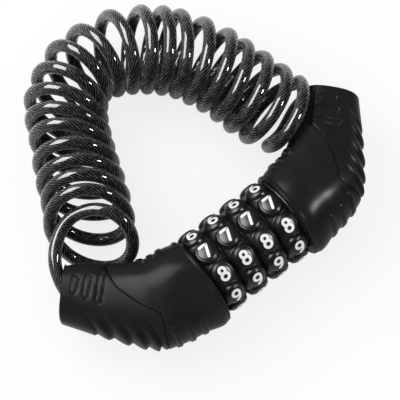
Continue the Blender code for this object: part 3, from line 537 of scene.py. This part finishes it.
def rope_in_jacket(name, settings):
    """Steel rope under a clear smoked jacket.

    The cable's own map gives the distance along it and the share of a turn round it. Strand number
    times (share round - distance / lay) is the phase of the strands, and the size of the sine of its
    half turn is their relief. The relief also sets their colour: the grooves between the strands are
    painted near black, a painted shade, and only the crests take the strand colour. Their colour is
    then painted paler towards the cable's outline, up to 3.8 times, a painted sheen that stands for
    the jacket's grazing reflection of the bright surroundings. The jacket is a smooth coat over them,
    which the relief doesn't move.
    """
    material, shader, add = new_finish(name)
    mapped = add("ShaderNodeUVMap", uv_map="along_and_round").outputs["UV"]
    split = add("ShaderNodeSeparateXYZ", [("Vector", mapped)])
    turned = sums(add, "MULTIPLY_ADD", split.outputs["X"], -1 / settings.lay, split.outputs["Y"])
    place = add("ShaderNodeTexCoord").outputs["Object"]
    drifted = sums(add, "MULTIPLY_ADD", noise(add, place, 420.0, 1.0), settings.drift, turned)
    wave = sums(add, "SINE", sums(add, "MULTIPLY", drifted, math.pi * settings.strands))
    relief = sums(add, "ABSOLUTE", wave)
    wear = noise(add, place, 1100.0, 2.0)
    height = sums(add, "MULTIPLY", in_range(add, wear, 0.86, 1.04, 0.35, 0.65), relief)
    # Painted shade: the grooves between the strands get the near-black groove colour, and only the crests get
    # the strand colour.
    middle = tuple(0.75 * a + 0.25 * b for a, b in zip(settings.groove, settings.strand))
    shade = colour_ramp(add, height, ((0.7, settings.groove), (0.9, middle), (0.995, settings.strand)))
    # Painted sheen: the colour is multiplied from 0.7 where the cable faces the eye to 3.8 at its outline,
    # standing in for the jacket's grazing reflection of bright surroundings.
    painted_rim_sheen_mask = add("ShaderNodeLayerWeight", Blend=0.5).outputs["Facing"]
    lift = in_range(add, painted_rim_sheen_mask, 0.7, 3.8, 0.2, 0.85, interpolation_type="SMOOTHSTEP")
    shown = add("ShaderNodeVectorMath", [(0, shade), (1, lift)], operation="MULTIPLY").outputs[0]
    bump = add("ShaderNodeBump", [("Height", relief)], Strength=0.7, Distance=0.00022)
    feed(shader, [("Base Color", shown), ("Normal", bump.outputs["Normal"]),
                  ("Roughness", in_range(add, wear, 0.3, 0.5))],
         Metallic=0.12, Coat_Weight=0.8, Coat_Roughness=0.03, Coat_IOR=1.5, Specular_IOR_Level=0.05)
    return material


def helix_points():
    """The coil's wire, turn by turn, as in the part's source.

    Smooth lines run through the places where the turns reach furthest out and furthest in. The wire is
    their middle, plus half their difference times the cosine of the turn's angle. Its height is the
    radius times the sine, and the same sine times a tilt, largest at both ends, moves it along the coil.
    """
    outer_places = np.array(OUTER_PLACES_MM) * MM
    inner_places = np.array(INNER_PLACES_MM) * MM
    turns = len(outer_places) - 1
    outer_at = natural_spline(outer_places, np.arange(turns + 1.0))[0]
    inner_at = natural_spline(inner_places, np.arange(turns + 2.0) - 0.5)[0]
    turn = np.linspace(0.0, turns, turns * POINTS_PER_TURN + 1)
    outer = outer_at(turn)
    inner = inner_at(turn)
    middle = (outer + inner) / 2
    ahead = np.gradient(middle, turn, axis=0)
    ahead /= np.linalg.norm(ahead, axis=1, keepdims=True)
    angle = 2 * math.pi * turn
    first_tilt = FIRST_TILT * np.exp(-turn / FIRST_TILT_TURNS)
    last_tilt = LAST_TILT * np.exp((turn - turns) / LAST_TILT_TURNS)
    swing = np.cos(angle)[:, None] * (outer - inner) / 2
    lean = ((first_tilt + last_tilt) * np.sin(angle))[:, None] * ahead
    return np.column_stack((middle + swing + lean, COIL_HEIGHT + COIL_RADIUS * np.sin(angle)))


def mouth_point(side, along, across, height):
    """A point near a housing's mouth: outward along its axis, across towards the coil, and up."""
    point = END_CENTRE + along * END_DIRECTION + across * END_ACROSS
    return np.array((side * point[0], point[1], height))


def cable_route(diameter):
    """The cable's centre line from ferrule to ferrule, on one smooth curve through the part's points."""
    start = -MOUTH_DEPTH + CLEARANCE
    straight = start + diameter
    offset = -FERRULE_OFFSET
    left = [mouth_point(-1, start, offset, 0.0), mouth_point(-1, straight, offset, 0.0),
            mouth_point(-1, straight + LEAD_OUT, offset + LEAD_ACROSS, LEFT_LEAD_RISE)]
    right = [mouth_point(1, straight + LEAD_OUT, offset + LEAD_ACROSS, RIGHT_LEAD_RISE),
             mouth_point(1, straight, offset, 0.0), mouth_point(1, start, offset, 0.0)]
    left_lead = np.array(LEFT_LEAD_MM) * MM
    right_lead = np.array(RIGHT_LEAD_MM) * MM
    at, chord = natural_spline(np.vstack((left, left_lead, helix_points(), right_lead, right)))
    return along_curve(at, chord[-1], CABLE_RINGS)


def carried_frames(centres):
    """Two directions square to a path at each point, carried along it with the least twist."""
    tangent = np.gradient(centres, axis=0)
    tangent /= np.linalg.norm(tangent, axis=1, keepdims=True)
    side = np.empty_like(tangent)
    side[0] = np.cross(tangent[0], (0.0, 0.0, 1.0))
    for i in range(1, len(tangent)):
        square = side[i - 1] - tangent[i] * np.dot(side[i - 1], tangent[i])
        side[i] = square / np.linalg.norm(square)
    return side, np.cross(tangent, side)


class LOCK_OT_cable(bpy.types.Operator):
    """Builds the coiled cable from ferrule to ferrule"""
    bl_idname = "lock.cable"
    bl_label = "Coiled Cable"

    def execute(self, context):
        settings = context.scene.lock_cable
        centres, run = cable_route(settings.diameter)
        side, up = carried_frames(centres)
        angle = 2 * math.pi * np.arange(CABLE_SIDES) / CABLE_SIDES
        radius = settings.diameter / 2
        outward = np.cos(angle)[:, None] * side[:, None] + np.sin(angle)[:, None] * up[:, None]
        rings = centres[:, None] + radius * outward
        quads = grid_quads(CABLE_RINGS, CABLE_SIDES, False)
        last = (CABLE_RINGS - 1) * CABLE_SIDES
        caps = (np.arange(CABLE_SIDES)[::-1], last + np.arange(CABLE_SIDES))
        share = np.arange(CABLE_SIDES + 1) / CABLE_SIDES
        along, turn = np.meshgrid(run, share, indexing="ij")
        cells = np.stack((along, turn), axis=-1)
        corners = np.stack((cells[:-1, :-1], cells[:-1, 1:], cells[1:, 1:], cells[1:, :-1]), axis=2)
        ends = np.zeros((2 * CABLE_SIDES, 2))
        uv = np.concatenate((corners.reshape(-1, 2), ends))
        finish = rope_in_jacket("smoked_jacket_rope", settings)
        piece = mesh_piece("cable", rings, quads, finish, caps, uv)
        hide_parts("coiled_cable")
        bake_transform(piece)
        path = centres + LOCK_AXIS
        tuple(path[0])
        return {"FINISHED"}


def seam_x(y):
    """The seam's X at a given Y: the part's own corners, rounded by a running mean."""
    corners = np.array(SEAM_MM)[::-1] * MM
    fine = np.linspace(SEAM_FROM, SEAM_TO, SEAM_STEPS)
    plain = np.interp(fine, corners[:, 1], corners[:, 0])
    padded = np.pad(plain, SEAM_MEAN_STEPS // 2, mode="edge")
    rounded = np.convolve(padded, np.ones(SEAM_MEAN_STEPS) / SEAM_MEAN_STEPS, mode="valid")
    return STACK_HALF + np.interp(y, fine, rounded)


SECTION_AT, SECTION_CHORD = natural_spline(HOUSING)


def signed_power(value, power):
    """A power of a value's size, with the value's sign."""
    return np.sign(value) * np.abs(value) ** power


def housing_skin(place, angle, rib_depth):
    """The right housing's outer skin, by section number along it and angle round it.

    A section is a superellipse from its outer edge (angle 0) to its inner edge (half a turn), whose
    power grows from the collar to the cable's end. Ribs cut in from the outer edge: with the
    distance from a notch as a share of the rib, the cut falls fast to nothing and grows back slowly.
    """
    row = SECTION_AT(np.interp(place, np.arange(len(HOUSING)), SECTION_CHORD))
    outer = np.stack((row[..., 0], row[..., 1], 0 * place), axis=-1)
    inner = np.stack((row[..., 2], row[..., 3], 0 * place), axis=-1)
    power = 2 / (COLLAR_SQUARENESS + (END_SQUARENESS - COLLAR_SQUARENESS) * place / END_PLACE)
    wide = signed_power(np.cos(angle), power)
    high = signed_power(np.sin(angle), power)
    middle = (outer + inner) / 2
    half = (outer - inner) / 2
    up = np.stack((0 * place, 0 * place, row[..., 4]), axis=-1)
    plain = middle + wide[..., None] * half + high[..., None] * up
    rib = np.interp(plain[..., 0], HOUSING[:, 0], np.arange(len(HOUSING)))
    share = np.mod(rib - 0.5, 1.0)
    fall = 1 - smooth_step(0.0, RIB_NOTCH_SHARE, share)
    growth = (np.maximum(share - RIB_NOTCH_SHARE, 0.0) / (1 - RIB_NOTCH_SHARE)) ** RIB_POWER
    cut = np.where(share < RIB_NOTCH_SHARE, fall, growth)
    shown = smooth_step(*RIBS_START, rib) * smooth_step(*RIBS_END, rib)
    reach = smooth_step(*RIB_REACH, wide)
    depth = rib_depth * cut * shown * reach / np.linalg.norm(half, axis=-1)
    return plain - depth[..., None] * half, middle, wide


def seam_places(angle):
    """The section number at which the skin crosses the seam, for each angle."""
    fine = np.linspace(0.0, END_PLACE, SEAM_SEARCH_STEPS)
    place, around = np.meshgrid(fine, angle, indexing="ij")
    skin, _, _ = housing_skin(place, around, 0.0)
    past = skin[..., 0] - seam_x(skin[..., 1])
    first = np.argmax(past > 0, axis=0)
    column = np.arange(len(angle))
    after = past[first, column]
    before = past[first - 1, column]
    return fine[first] - (fine[1] - fine[0]) * after / (after - before)


def edge_band(wide, half_width, settings):
    """How far the band along the inner edge lies below the skin beside it: a step across its border."""
    edge = (wide + 1) * half_width
    foot = (1 + BAND_EDGE_SHARE) * settings.band
    top = (1 - BAND_EDGE_SHARE) * settings.band
    return settings.band_drop * smooth_step(foot, top, edge)


def shell_relief(points, wide, settings):
    """How far a shell's skin is pushed out: the edge band, upright grip bars and a bead by the dials.

    A bar is as high as a smooth step of the distance from its middle line, with its ends rounded. The
    bead is a bell curve of the distance from the dials.
    """
    lift = -edge_band(wide, COLLAR_RADIUS, settings)
    x = points[..., 0]
    beyond = np.maximum(np.abs(points[..., 2]) - BAR_HALF_HIGH, 0.0)
    for bars, outer in ((OUTER_BARS_MM, True), (INNER_BARS_MM, False)):
        for bar in bars:
            near = np.hypot(x - bar * MM, beyond)
            shown = (wide > 0) == outer
            lift = lift + BAR_RISE * smooth_step(BAR_FOOT, BAR_TOP, near) * shown
    bead = BEAD_RISE * np.exp(-((x - FACE_X - BEAD_PLACE) / BEAD_WIDTH) ** 2)
    return lift * smooth_step(FACE_X, FACE_X + RELIEF_START, x) + bead


def boot_relief(points, wide, settings):
    """How far a boot's skin is pushed out: the outlines of three slots on top, and the edge band.

    A slot's outline is a groove, a bell curve of the distance from a stadium's edge.
    """
    lift = -edge_band(wide, MOUTH_HALF_WIDE, settings)
    for x, y, length in SLOTS_MM:
        away = points[..., :2] - (x * MM, y * MM)
        along = away @ END_ACROSS[:2]
        out = away @ END_DIRECTION[:2]
        beyond = np.maximum(np.abs(along) - (length / 2 * MM - SLOT_HALF_WIDE), 0.0)
        near = np.hypot(beyond, out) - SLOT_HALF_WIDE
        floor = SLOT_FLOOR_SHARE * smooth_step(SLOT_LINE, -SLOT_LINE, near)
        groove = np.exp(-(near / SLOT_LINE) ** 2) + floor
        lift = lift - settings.slot_depth * groove * (points[..., 2] > 0)
    return lift


def oval(angle, along, half_wide, half_high, power):
    """An oval ring square to the end axis: superellipse of the given half sizes, along from the mouth."""
    wide = signed_power(np.cos(angle), power) * half_wide
    high = signed_power(np.sin(angle), power) * half_high
    ring = END_CENTRE + along * END_DIRECTION - wide[:, None] * END_ACROSS
    ring[:, 2] += high
    return ring


def collar_ring(angle, x, radius):
    """A circle round the dials' axis at a given X, whose angle 0 points to the outer side."""
    return np.stack((0 * angle + x, -radius * np.cos(angle), radius * np.sin(angle)), axis=-1)


def shell_rings(side, settings):
    """Closed rings of a shell: skin from dials to seam, back inside it, and out through the recess."""
    angle = 2 * math.pi * np.arange(SHELL_COLUMNS) / SHELL_COLUMNS
    share = np.linspace(0.0, 1.0, SHELL_ROWS)[:, None]
    place = END_ROUND + share * (seam_places(angle) - END_ROUND)
    around = np.broadcast_to(angle, place.shape)
    skin, middle, wide = housing_skin(place, around, settings.rib_depth)
    skin = skin + grid_normals(skin) * shell_relief(skin, wide, settings)[..., None]
    skin[:, :, 2] = np.maximum(skin[:, :, 2], -LOCK_AXIS[2])
    toward = middle - skin
    lip = skin[-1] + LIP_SHARE * toward[-1]
    deep = skin[-1] + SHELL_EDGE_SHARE * toward[-1]
    lip[:, 0] += settings.seam / 2
    back = [skin[k] + SHELL_WALL_SHARE * toward[k] for k in SHELL_BACK_ROWS]
    x = RECESS_END[side]
    hollow = ((x + HOLE_STEP, POCKET_RADIUS), (x, POCKET_RADIUS), (x, RECESS_RADIUS),
              (FACE_X + RECESS_ROUND, RECESS_RADIUS), (FACE_X, RECESS_RADIUS + RECESS_ROUND))
    inside = [collar_ring(angle, place_x, radius) for place_x, radius in hollow]
    start, centre, _ = housing_skin(0 * angle, angle, 0.0)
    face = start + FACE_SHARE * (centre - start)
    return np.array([*skin, lip, deep, *back, *inside, face])


def boot_rings(settings):
    """Closed rings of a boot: skin from seam to mouth, round the rim, into the mouth and back inside."""
    angle = 2 * math.pi * np.arange(BOOT_COLUMNS) / BOOT_COLUMNS
    start = seam_places(angle)
    share = np.linspace(0.0, 1.0, BOOT_ROWS)[:, None]
    place = start + share * (END_PLACE - END_ROUND - start)
    around = np.broadcast_to(angle, place.shape)
    skin, middle, wide = housing_skin(place, around, settings.rib_depth)
    skin = skin + grid_normals(skin) * boot_relief(skin, wide, settings)[..., None]
    toward = middle - skin
    gap = (1 - share) ** SEAM_FALL_POWER
    skin[:, :, 0] += settings.seam * gap
    skin = skin + SEAM_TUCK * gap[..., None] * toward
    last, centre, _ = housing_skin(0 * angle + END_PLACE, angle, 0.0)
    rim = last + RIM_SHARE * (centre - last)
    power = 2 / END_SQUARENESS
    steps = ((0.0, RIM_ROUND), (-RIM_DEPTH, 0.0), (-MOUTH_DEPTH + MOUTH_FLOOR_RISE, 0.0),
             (-MOUTH_DEPTH, -MOUTH_FLOOR_ROUND))
    mouth = [oval(angle, d, MOUTH_HALF_WIDE + grow, MOUTH_HALF_HIGH + grow, power) for d, grow in steps]
    hole = [oval(angle, d, MOUTH_FLOOR_RADIUS, MOUTH_FLOOR_RADIUS, 1.0)
            for d in (-MOUTH_DEPTH, -MOUTH_DEPTH - HOLE_STEP)]
    back = [skin[k] + BOOT_WALL_SHARE * toward[k] for k in BOOT_BACK_ROWS]
    lip = skin[0] + LIP_SHARE * toward[0]
    return np.array([*skin, rim, *mouth, *hole, *back, lip])


class LOCK_OT_housings(bpy.types.Operator):
    """Builds the shells and boots of both housings"""
    bl_idname = "lock.housings"
    bl_label = "Housings"

    def execute(self, context):
        settings = context.scene.lock_housing
        shell_finish = moulded_plastic("shell_satin_black", settings.shell, *SHELL_FINISH)
        boot_finish = moulded_plastic("boot_satin_black", settings.boot, *BOOT_FINISH)
        boot = boot_rings(settings)
        for side, name, body in ((1, "right", "barrel_side"), (-1, "left", "pin_side")):
            sets = (("shell", shell_rings(side, settings), shell_finish), ("boot", boot, boot_finish))
            for kind, rings, finish in sets:
                quads = grid_quads(*rings.shape[:2])
                if side > 0:
                    quads = quads[:, ::-1]
                placed = rings * (side, 1, 1)
                piece = mesh_piece(name + "_" + kind + "_skin", placed, quads, finish)
                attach(piece, body)
                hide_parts(name + "_" + kind)
        return {"FINISHED"}


def pad_share(across, around):
    """How far out a point lies on its pad: 0 in the middle and 1 on the edge of a superellipse."""
    total = (np.abs(around) / PAD_HALF_ROUND) ** PAD_POWER + (np.abs(across) / PAD_HALF_WIDE) ** PAD_POWER
    return total ** (1 / PAD_POWER)


def pad_height(share):
    """A pad's distance from the dial's axis, square to the pad: a dome that falls as a power of the share."""
    return PAD_EDGE_RADIUS + PAD_DOME * (1 - np.clip(share, 0.0, PAD_REACH) ** DOME_POWER)


def dial_rings():
    """Closed rings of a dial: the crown with ten raised oval pads, the two flanks and the bore.

    The crown's radius falls to the flanks as a superellipse. A pad is a low dome square to its own
    radius, so its radius is height / cos(angle), less a groove inside its edge, which is a bell curve.
    Past its edge it falls to the crown as a smooth step.
    """
    half = DIAL_WIDTH / 2
    across = half * np.sin(np.linspace(-0.5, 0.5, CROWN_ROWS) * math.pi)
    theta = 2 * math.pi * np.arange(DIAL_COLUMNS) / DIAL_COLUMNS
    off = np.mod(theta - FIRST_PAD + math.pi / NUMBERS, 2 * math.pi / NUMBERS) - math.pi / NUMBERS
    s, d = np.meshgrid(across, off, indexing="ij")
    crown = (1 - np.abs(s / half) ** CROWN_POWER) ** (1 / CROWN_POWER)
    base = DIAL_EDGE_RADIUS + (DIAL_CROWN_RADIUS - DIAL_EDGE_RADIUS) * crown
    share = pad_share(s, (PAD_EDGE_RADIUS + PAD_DOME) * np.tan(d))
    groove = PAD_GROOVE * np.exp(-((share - PAD_GROOVE_SHARE) / PAD_GROOVE_WIDTH) ** 2)
    pad = (pad_height(share) - groove) / np.cos(d)
    radius = base + (pad - base) * smooth_step(*PAD_FALL, share)
    bore = BORE_RADIUS / np.cos(np.mod(theta, 2 * math.pi / NUMBERS) - math.pi / NUMBERS)
    flank = half * np.array((1.0, 1.0, BORE_HALF_SHARE, -BORE_HALF_SHARE, -1.0, -1.0))
    face = bore + FLANK_SHARE * (DIAL_EDGE_RADIUS - FLANK_STEP - bore)
    inner = np.array((face, bore, bore, bore, bore, face))
    x = np.concatenate((s, np.broadcast_to(flank[:, None], inner.shape)))
    r = np.concatenate((radius, inner))
    return np.stack((x, r * np.sin(theta), r * np.cos(theta)), axis=-1)


def arc(cx, cy, rx, ry, start, end, count=24):
    """Points on part of an ellipse, by angle in degrees from its right side."""
    angle = np.radians(np.linspace(start, end, count))
    return np.stack((cx + rx * np.cos(angle), cy + ry * np.sin(angle)), axis=-1)


def line(*corners):
    """A bent line through corners, with points close together."""
    corners = np.array(corners, float)
    step = np.linspace(0, len(corners) - 1, 8 * (len(corners) - 1) + 1)
    return np.stack([np.interp(step, np.arange(len(corners)), corners[:, k]) for k in (0, 1)], axis=-1)


def number_strokes(number):
    """The pen strokes of one digit, in a box one unit high round its middle."""
    six = [arc(0, -0.16, 0.225, 0.235, 0, 360, 40), arc(0.10, -0.14, 0.325, 0.53, 176, 92)]
    shapes = {
        0: [arc(0, 0, 0.22, 0.395, 0, 360, 48)],
        1: [line((-0.17, 0.20), (0.04, 0.395), (0.04, -0.395))],
        2: [np.concatenate((arc(0, 0.18, 0.225, 0.215, 165, -30), line((0.16, 0.03), (-0.24, -0.395))[1:])),
            line((-0.24, -0.395), (0.25, -0.395))],
        3: [arc(0, 0.19, 0.205, 0.205, 155, -88), arc(0, -0.185, 0.235, 0.21, 88, -155)],
        4: [line((0.12, -0.395), (0.12, 0.395), (-0.26, -0.13)), line((-0.26, -0.13), (0.29, -0.13))],
        5: [line((0.22, 0.395), (-0.16, 0.395), (-0.20, 0.02)), arc(0, -0.155, 0.235, 0.24, 140, -150, 28)],
        6: six,
        7: [line((-0.25, 0.395), (0.24, 0.395), (-0.08, -0.395))],
        8: [arc(0, 0.205, 0.185, 0.19, 0, 360, 40), arc(0, -0.185, 0.225, 0.21, 0, 360, 40)],
        9: [-stroke for stroke in six],
    }
    return shapes[number]


def stroke_solid(path, half_wide, low, high):
    """A flat bar with round ends along a path in the plane: four edges carried along its points."""
    if np.allclose(path[0], path[-1]):
        tangent = np.roll(path[:-1], -1, axis=0) - np.roll(path[:-1], 1, axis=0)
        path = path[:-1]
        width = np.full(len(path), half_wide)
        closed = True
    else:
        first = (path[0] - path[1]) / np.linalg.norm(path[0] - path[1])
        last = (path[-1] - path[-2]) / np.linalg.norm(path[-1] - path[-2])
        round_off = np.radians(ROUND_END_DEGREES)
        reach = half_wide * ROUND_END_REACH * np.sin(round_off)[:, None]
        narrow = half_wide * np.cos(round_off) ** ROUND_END_POWER
        before = path[0] + reach[::-1] * first
        after = path[-1] + reach * last
        width = np.concatenate((narrow[::-1], np.full(len(path), half_wide), narrow))
        path = np.concatenate((before, path, after))
        tangent = np.gradient(path, axis=0)
        closed = False
    tangent = tangent / np.linalg.norm(tangent, axis=1, keepdims=True)
    across = np.stack((-tangent[:, 1], tangent[:, 0]), axis=-1) * width[:, None]
    level = np.ones(len(path))
    corners = ((1, low), (1, high), (-1, high), (-1, low))
    points = np.stack([np.column_stack((path + side * across, z * level)) for side, z in corners], axis=1)
    quads = grid_quads(len(path), 4, closed)
    last_row = 4 * (len(path) - 1)
    caps = () if closed else (np.arange(4)[::-1], last_row + np.arange(4))
    return points.reshape(-1, 3), quads, caps


def number_set(x, settings):
    """All ten digits of one dial, each laid on the dome of its own pad."""
    parts = []
    for pad in range(NUMBERS):
        angle = FIRST_PAD + 2 * math.pi * pad / NUMBERS
        outward = np.array((0.0, math.sin(angle), math.cos(angle)))
        upward = np.array((0.0, math.cos(angle), -math.sin(angle)))
        for stroke in number_strokes((FIRST_NUMBER - pad) % NUMBERS):
            flat, quads, caps = stroke_solid(stroke * settings.height, settings.stroke * settings.height / 2,
                                             -NUMBER_DEPTH, NUMBER_RISE)
            out = flat[:, 2] + pad_height(pad_share(flat[:, 0], flat[:, 1]))
            points = (np.array((x, 0.0, 0.0)) + flat[:, :1] * (1.0, 0.0, 0.0) + flat[:, 1:2] * upward
                      + out[:, None] * outward)
            parts.append((points, quads, caps))
    return joined(parts)


class LOCK_OT_dials(bpy.types.Operator):
    """Builds the four dials and their white numbers"""
    bl_idname = "lock.dials"
    bl_label = "Dials"

    def execute(self, context):
        settings = context.scene.lock_dial
        finish = moulded_plastic("dial_gloss_black", settings.dial, *DIAL_FINISH)
        ink = printed_ink("number_white", settings.ink)
        rings = dial_rings()
        quads = grid_quads(*rings.shape[:2])
        for k, joint in enumerate(DIAL_JOINTS):
            x = joint["pos_m"][0]
            name = "dial_%d" % (k + 1)
            piece = mesh_piece(name + "_ring", rings + (x, 0.0, 0.0), quads, finish, sharp=DIAL_SHARP)
            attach(piece, joint["child"])
            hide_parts(name)
            points, faces, caps = number_set(x, settings)
            numbers = mesh_piece(name + "_numbers", points, faces, ink, caps)
            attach(numbers, joint["child"])
        return {"FINISHED"}


class LOCK_OT_inner_parts(bpy.types.Operator):
    """Gives the metal parts inside the lock their finishes"""
    bl_idname = "lock.inner_parts"
    bl_label = "Inner Parts"

    def execute(self, context):
        finishes = {slot: bare_metal(*values) for slot, values in METALS.items()}
        for part in frame["record"]["subparts"]:
            finish = finishes.get(part["material_slot"])
            if finish:
                mesh = frame["nodes"][part["node"]].data
                mesh.materials.clear()
                mesh.materials.append(finish)
        return {"FINISHED"}


def area_lamp(name, place, size, power):
    """A soft rectangular lamp that looks at the middle of the lock."""
    lamp = bpy.data.lights.new(name, "AREA")
    lamp.shape = "RECTANGLE"
    lamp.size, lamp.size_y = size
    lamp.energy = power
    holder = bpy.data.objects.new(name, lamp)
    holder.location = Vector(LAMP_TARGET) + Vector(place)
    holder.rotation_euler = (-Vector(place)).to_track_quat("-Z", "Y").to_euler()
    bpy.context.scene.collection.objects.link(holder)
    return holder


def studio_world(ambient):
    """White to the camera, bright on one side and dim on the other to gloss, and even light on the rest."""
    world = bpy.data.worlds.new("studio")
    world.use_nodes = True
    world.node_tree.nodes.clear()
    add = node_adder(world.node_tree)
    ray = add("ShaderNodeLightPath")
    direction = add("ShaderNodeTexCoord").outputs["Generated"]
    side = add("ShaderNodeVectorMath", [(0, direction), (1, BRIGHT_SIDE)], operation="DOT_PRODUCT")
    shade = in_range(add, side.outputs["Value"], *GLOSS_LEVELS, *GLOSS_SIDES, interpolation_type="SMOOTHSTEP")
    light = add("ShaderNodeBackground", Color=WHITE, Strength=ambient)
    gloss = add("ShaderNodeBackground", [("Color", shade)])
    backdrop = add("ShaderNodeBackground", Color=WHITE)
    mirrored = sums(add, "MAXIMUM", ray.outputs["Is Glossy Ray"], ray.outputs["Is Transmission Ray"])
    lit = add("ShaderNodeMixShader", [("Fac", mirrored), (1, light.outputs[0]), (2, gloss.outputs[0])])
    seen = add("ShaderNodeMixShader", [("Fac", ray.outputs["Is Camera Ray"]), (1, lit.outputs[0]),
                                       (2, backdrop.outputs[0])])
    add("ShaderNodeOutputWorld", [("Surface", seen.outputs[0])])
    bpy.context.scene.world = world


def pale_floor(colour, whiteness):
    """A pale floor that keeps its shadows, part of whose colour is plain white to the camera."""
    material, shader, add = new_finish("pale_floor")
    place = add("ShaderNodeTexCoord").outputs["Object"]
    shade = colour_ramp(add, noise(add, place, 40.0, 2.0), ((0.3, toned(colour, 0.99)), (0.7, colour)))
    feed(shader, [("Base Color", shade)], Roughness=0.8, Specular_IOR_Level=0.1)
    share = sums(add, "MULTIPLY", add("ShaderNodeLightPath").outputs["Is Camera Ray"], whiteness)
    white = add("ShaderNodeEmission")
    mixed = add("ShaderNodeMixShader", [("Fac", share), (1, shader.outputs[0]), (2, white.outputs[0])])
    feed(material.node_tree.nodes["Material Output"], [("Surface", mixed.outputs[0])])
    return material


class LOCK_OT_stage(bpy.types.Operator):
    """Sets up the floor, the soft studio light and the camera"""
    bl_idname = "lock.stage"
    bl_label = "Stage"

    def execute(self, context):
        settings = context.scene.lock_stage
        scene = context.scene
        scene.view_settings.view_transform = "Standard"
        material = pale_floor(settings.floor, settings.whiteness)
        mesh = bpy.data.meshes.new("floor")
        corners = [(x * FLOOR_REACH, y * FLOOR_REACH, 0.0) for x, y in ((-1, -1), (1, -1), (1, 1), (-1, 1))]
        mesh.from_pydata(corners, [], [(0, 1, 2, 3)])
        mesh.materials.append(material)
        floor = bpy.data.objects.new("floor", mesh)
        scene.collection.objects.link(floor)
        studio_world(settings.ambient)
        area_lamp("key_lamp", KEY_PLACE, KEY_SIZE, settings.key)
        for lamp in (area_lamp("streak_lamp", STREAK_PLACE, STREAK_SIZE, settings.streak),
                     area_lamp("side_lamp", SIDE_PLACE, SIDE_SIZE, settings.side)):
            lamp.visible_diffuse = False
        camera = bpy.data.cameras.new("photo_camera")
        camera.lens = CAMERA_LENS
        camera.sensor_width = SENSOR_WIDTH
        camera.sensor_fit = "HORIZONTAL"
        camera.clip_start = CLIP_START
        right = Vector(CAMERA_RIGHT).normalized()
        back = -Vector(CAMERA_FORWARD).normalized()
        up = back.cross(right).normalized()
        turn = Matrix((right, up, right.cross(up))).transposed()
        holder = bpy.data.objects.new("photo_camera", camera)
        holder.matrix_world = Matrix.Translation(Vector(LOCK_AXIS) + Vector(CAMERA_PLACE)) @ turn.to_4x4()
        scene.collection.objects.link(holder)
        scene.camera = holder
        return {"FINISHED"}


class LOCK_PT_panel(bpy.types.Panel):
    """Lists the lock's pieces and their settings"""
    bl_idname = "LOCK_PT_panel"
    bl_label = "Cable Lock"
    bl_space_type = "VIEW_3D"
    bl_region_type = "UI"
    bl_category = "Cable Lock"

    def draw(self, context):
        for operator in OPERATORS:
            self.layout.operator(operator.bl_idname)
        for name, kind in GROUPS.items():
            box = self.layout.box()
            for setting in kind.__annotations__:
                box.prop(getattr(context.scene, name), setting)


GROUPS = {"lock_cable": CableSettings, "lock_housing": HousingSettings, "lock_dial": DialSettings,
          "lock_stage": StageSettings}
OPERATORS = (LOCK_OT_cable, LOCK_OT_housings, LOCK_OT_dials, LOCK_OT_inner_parts, LOCK_OT_stage)


def register():
    for kind in (*GROUPS.values(), *OPERATORS, LOCK_PT_panel):
        bpy.utils.register_class(kind)
    for name, kind in GROUPS.items():
        setattr(bpy.types.Scene, name, PointerProperty(type=kind))


def unregister():
    for name in GROUPS:
        delattr(bpy.types.Scene, name)
    for kind in reversed((*GROUPS.values(), *OPERATORS, LOCK_PT_panel)):
        bpy.utils.unregister_class(kind)


def main():
    register()
    bpy.ops.lock.cable()
    bpy.ops.lock.housings()
    bpy.ops.lock.dials()
    bpy.ops.lock.inner_parts()
    bpy.ops.lock.stage()


if __name__ == "__main__":
    main()
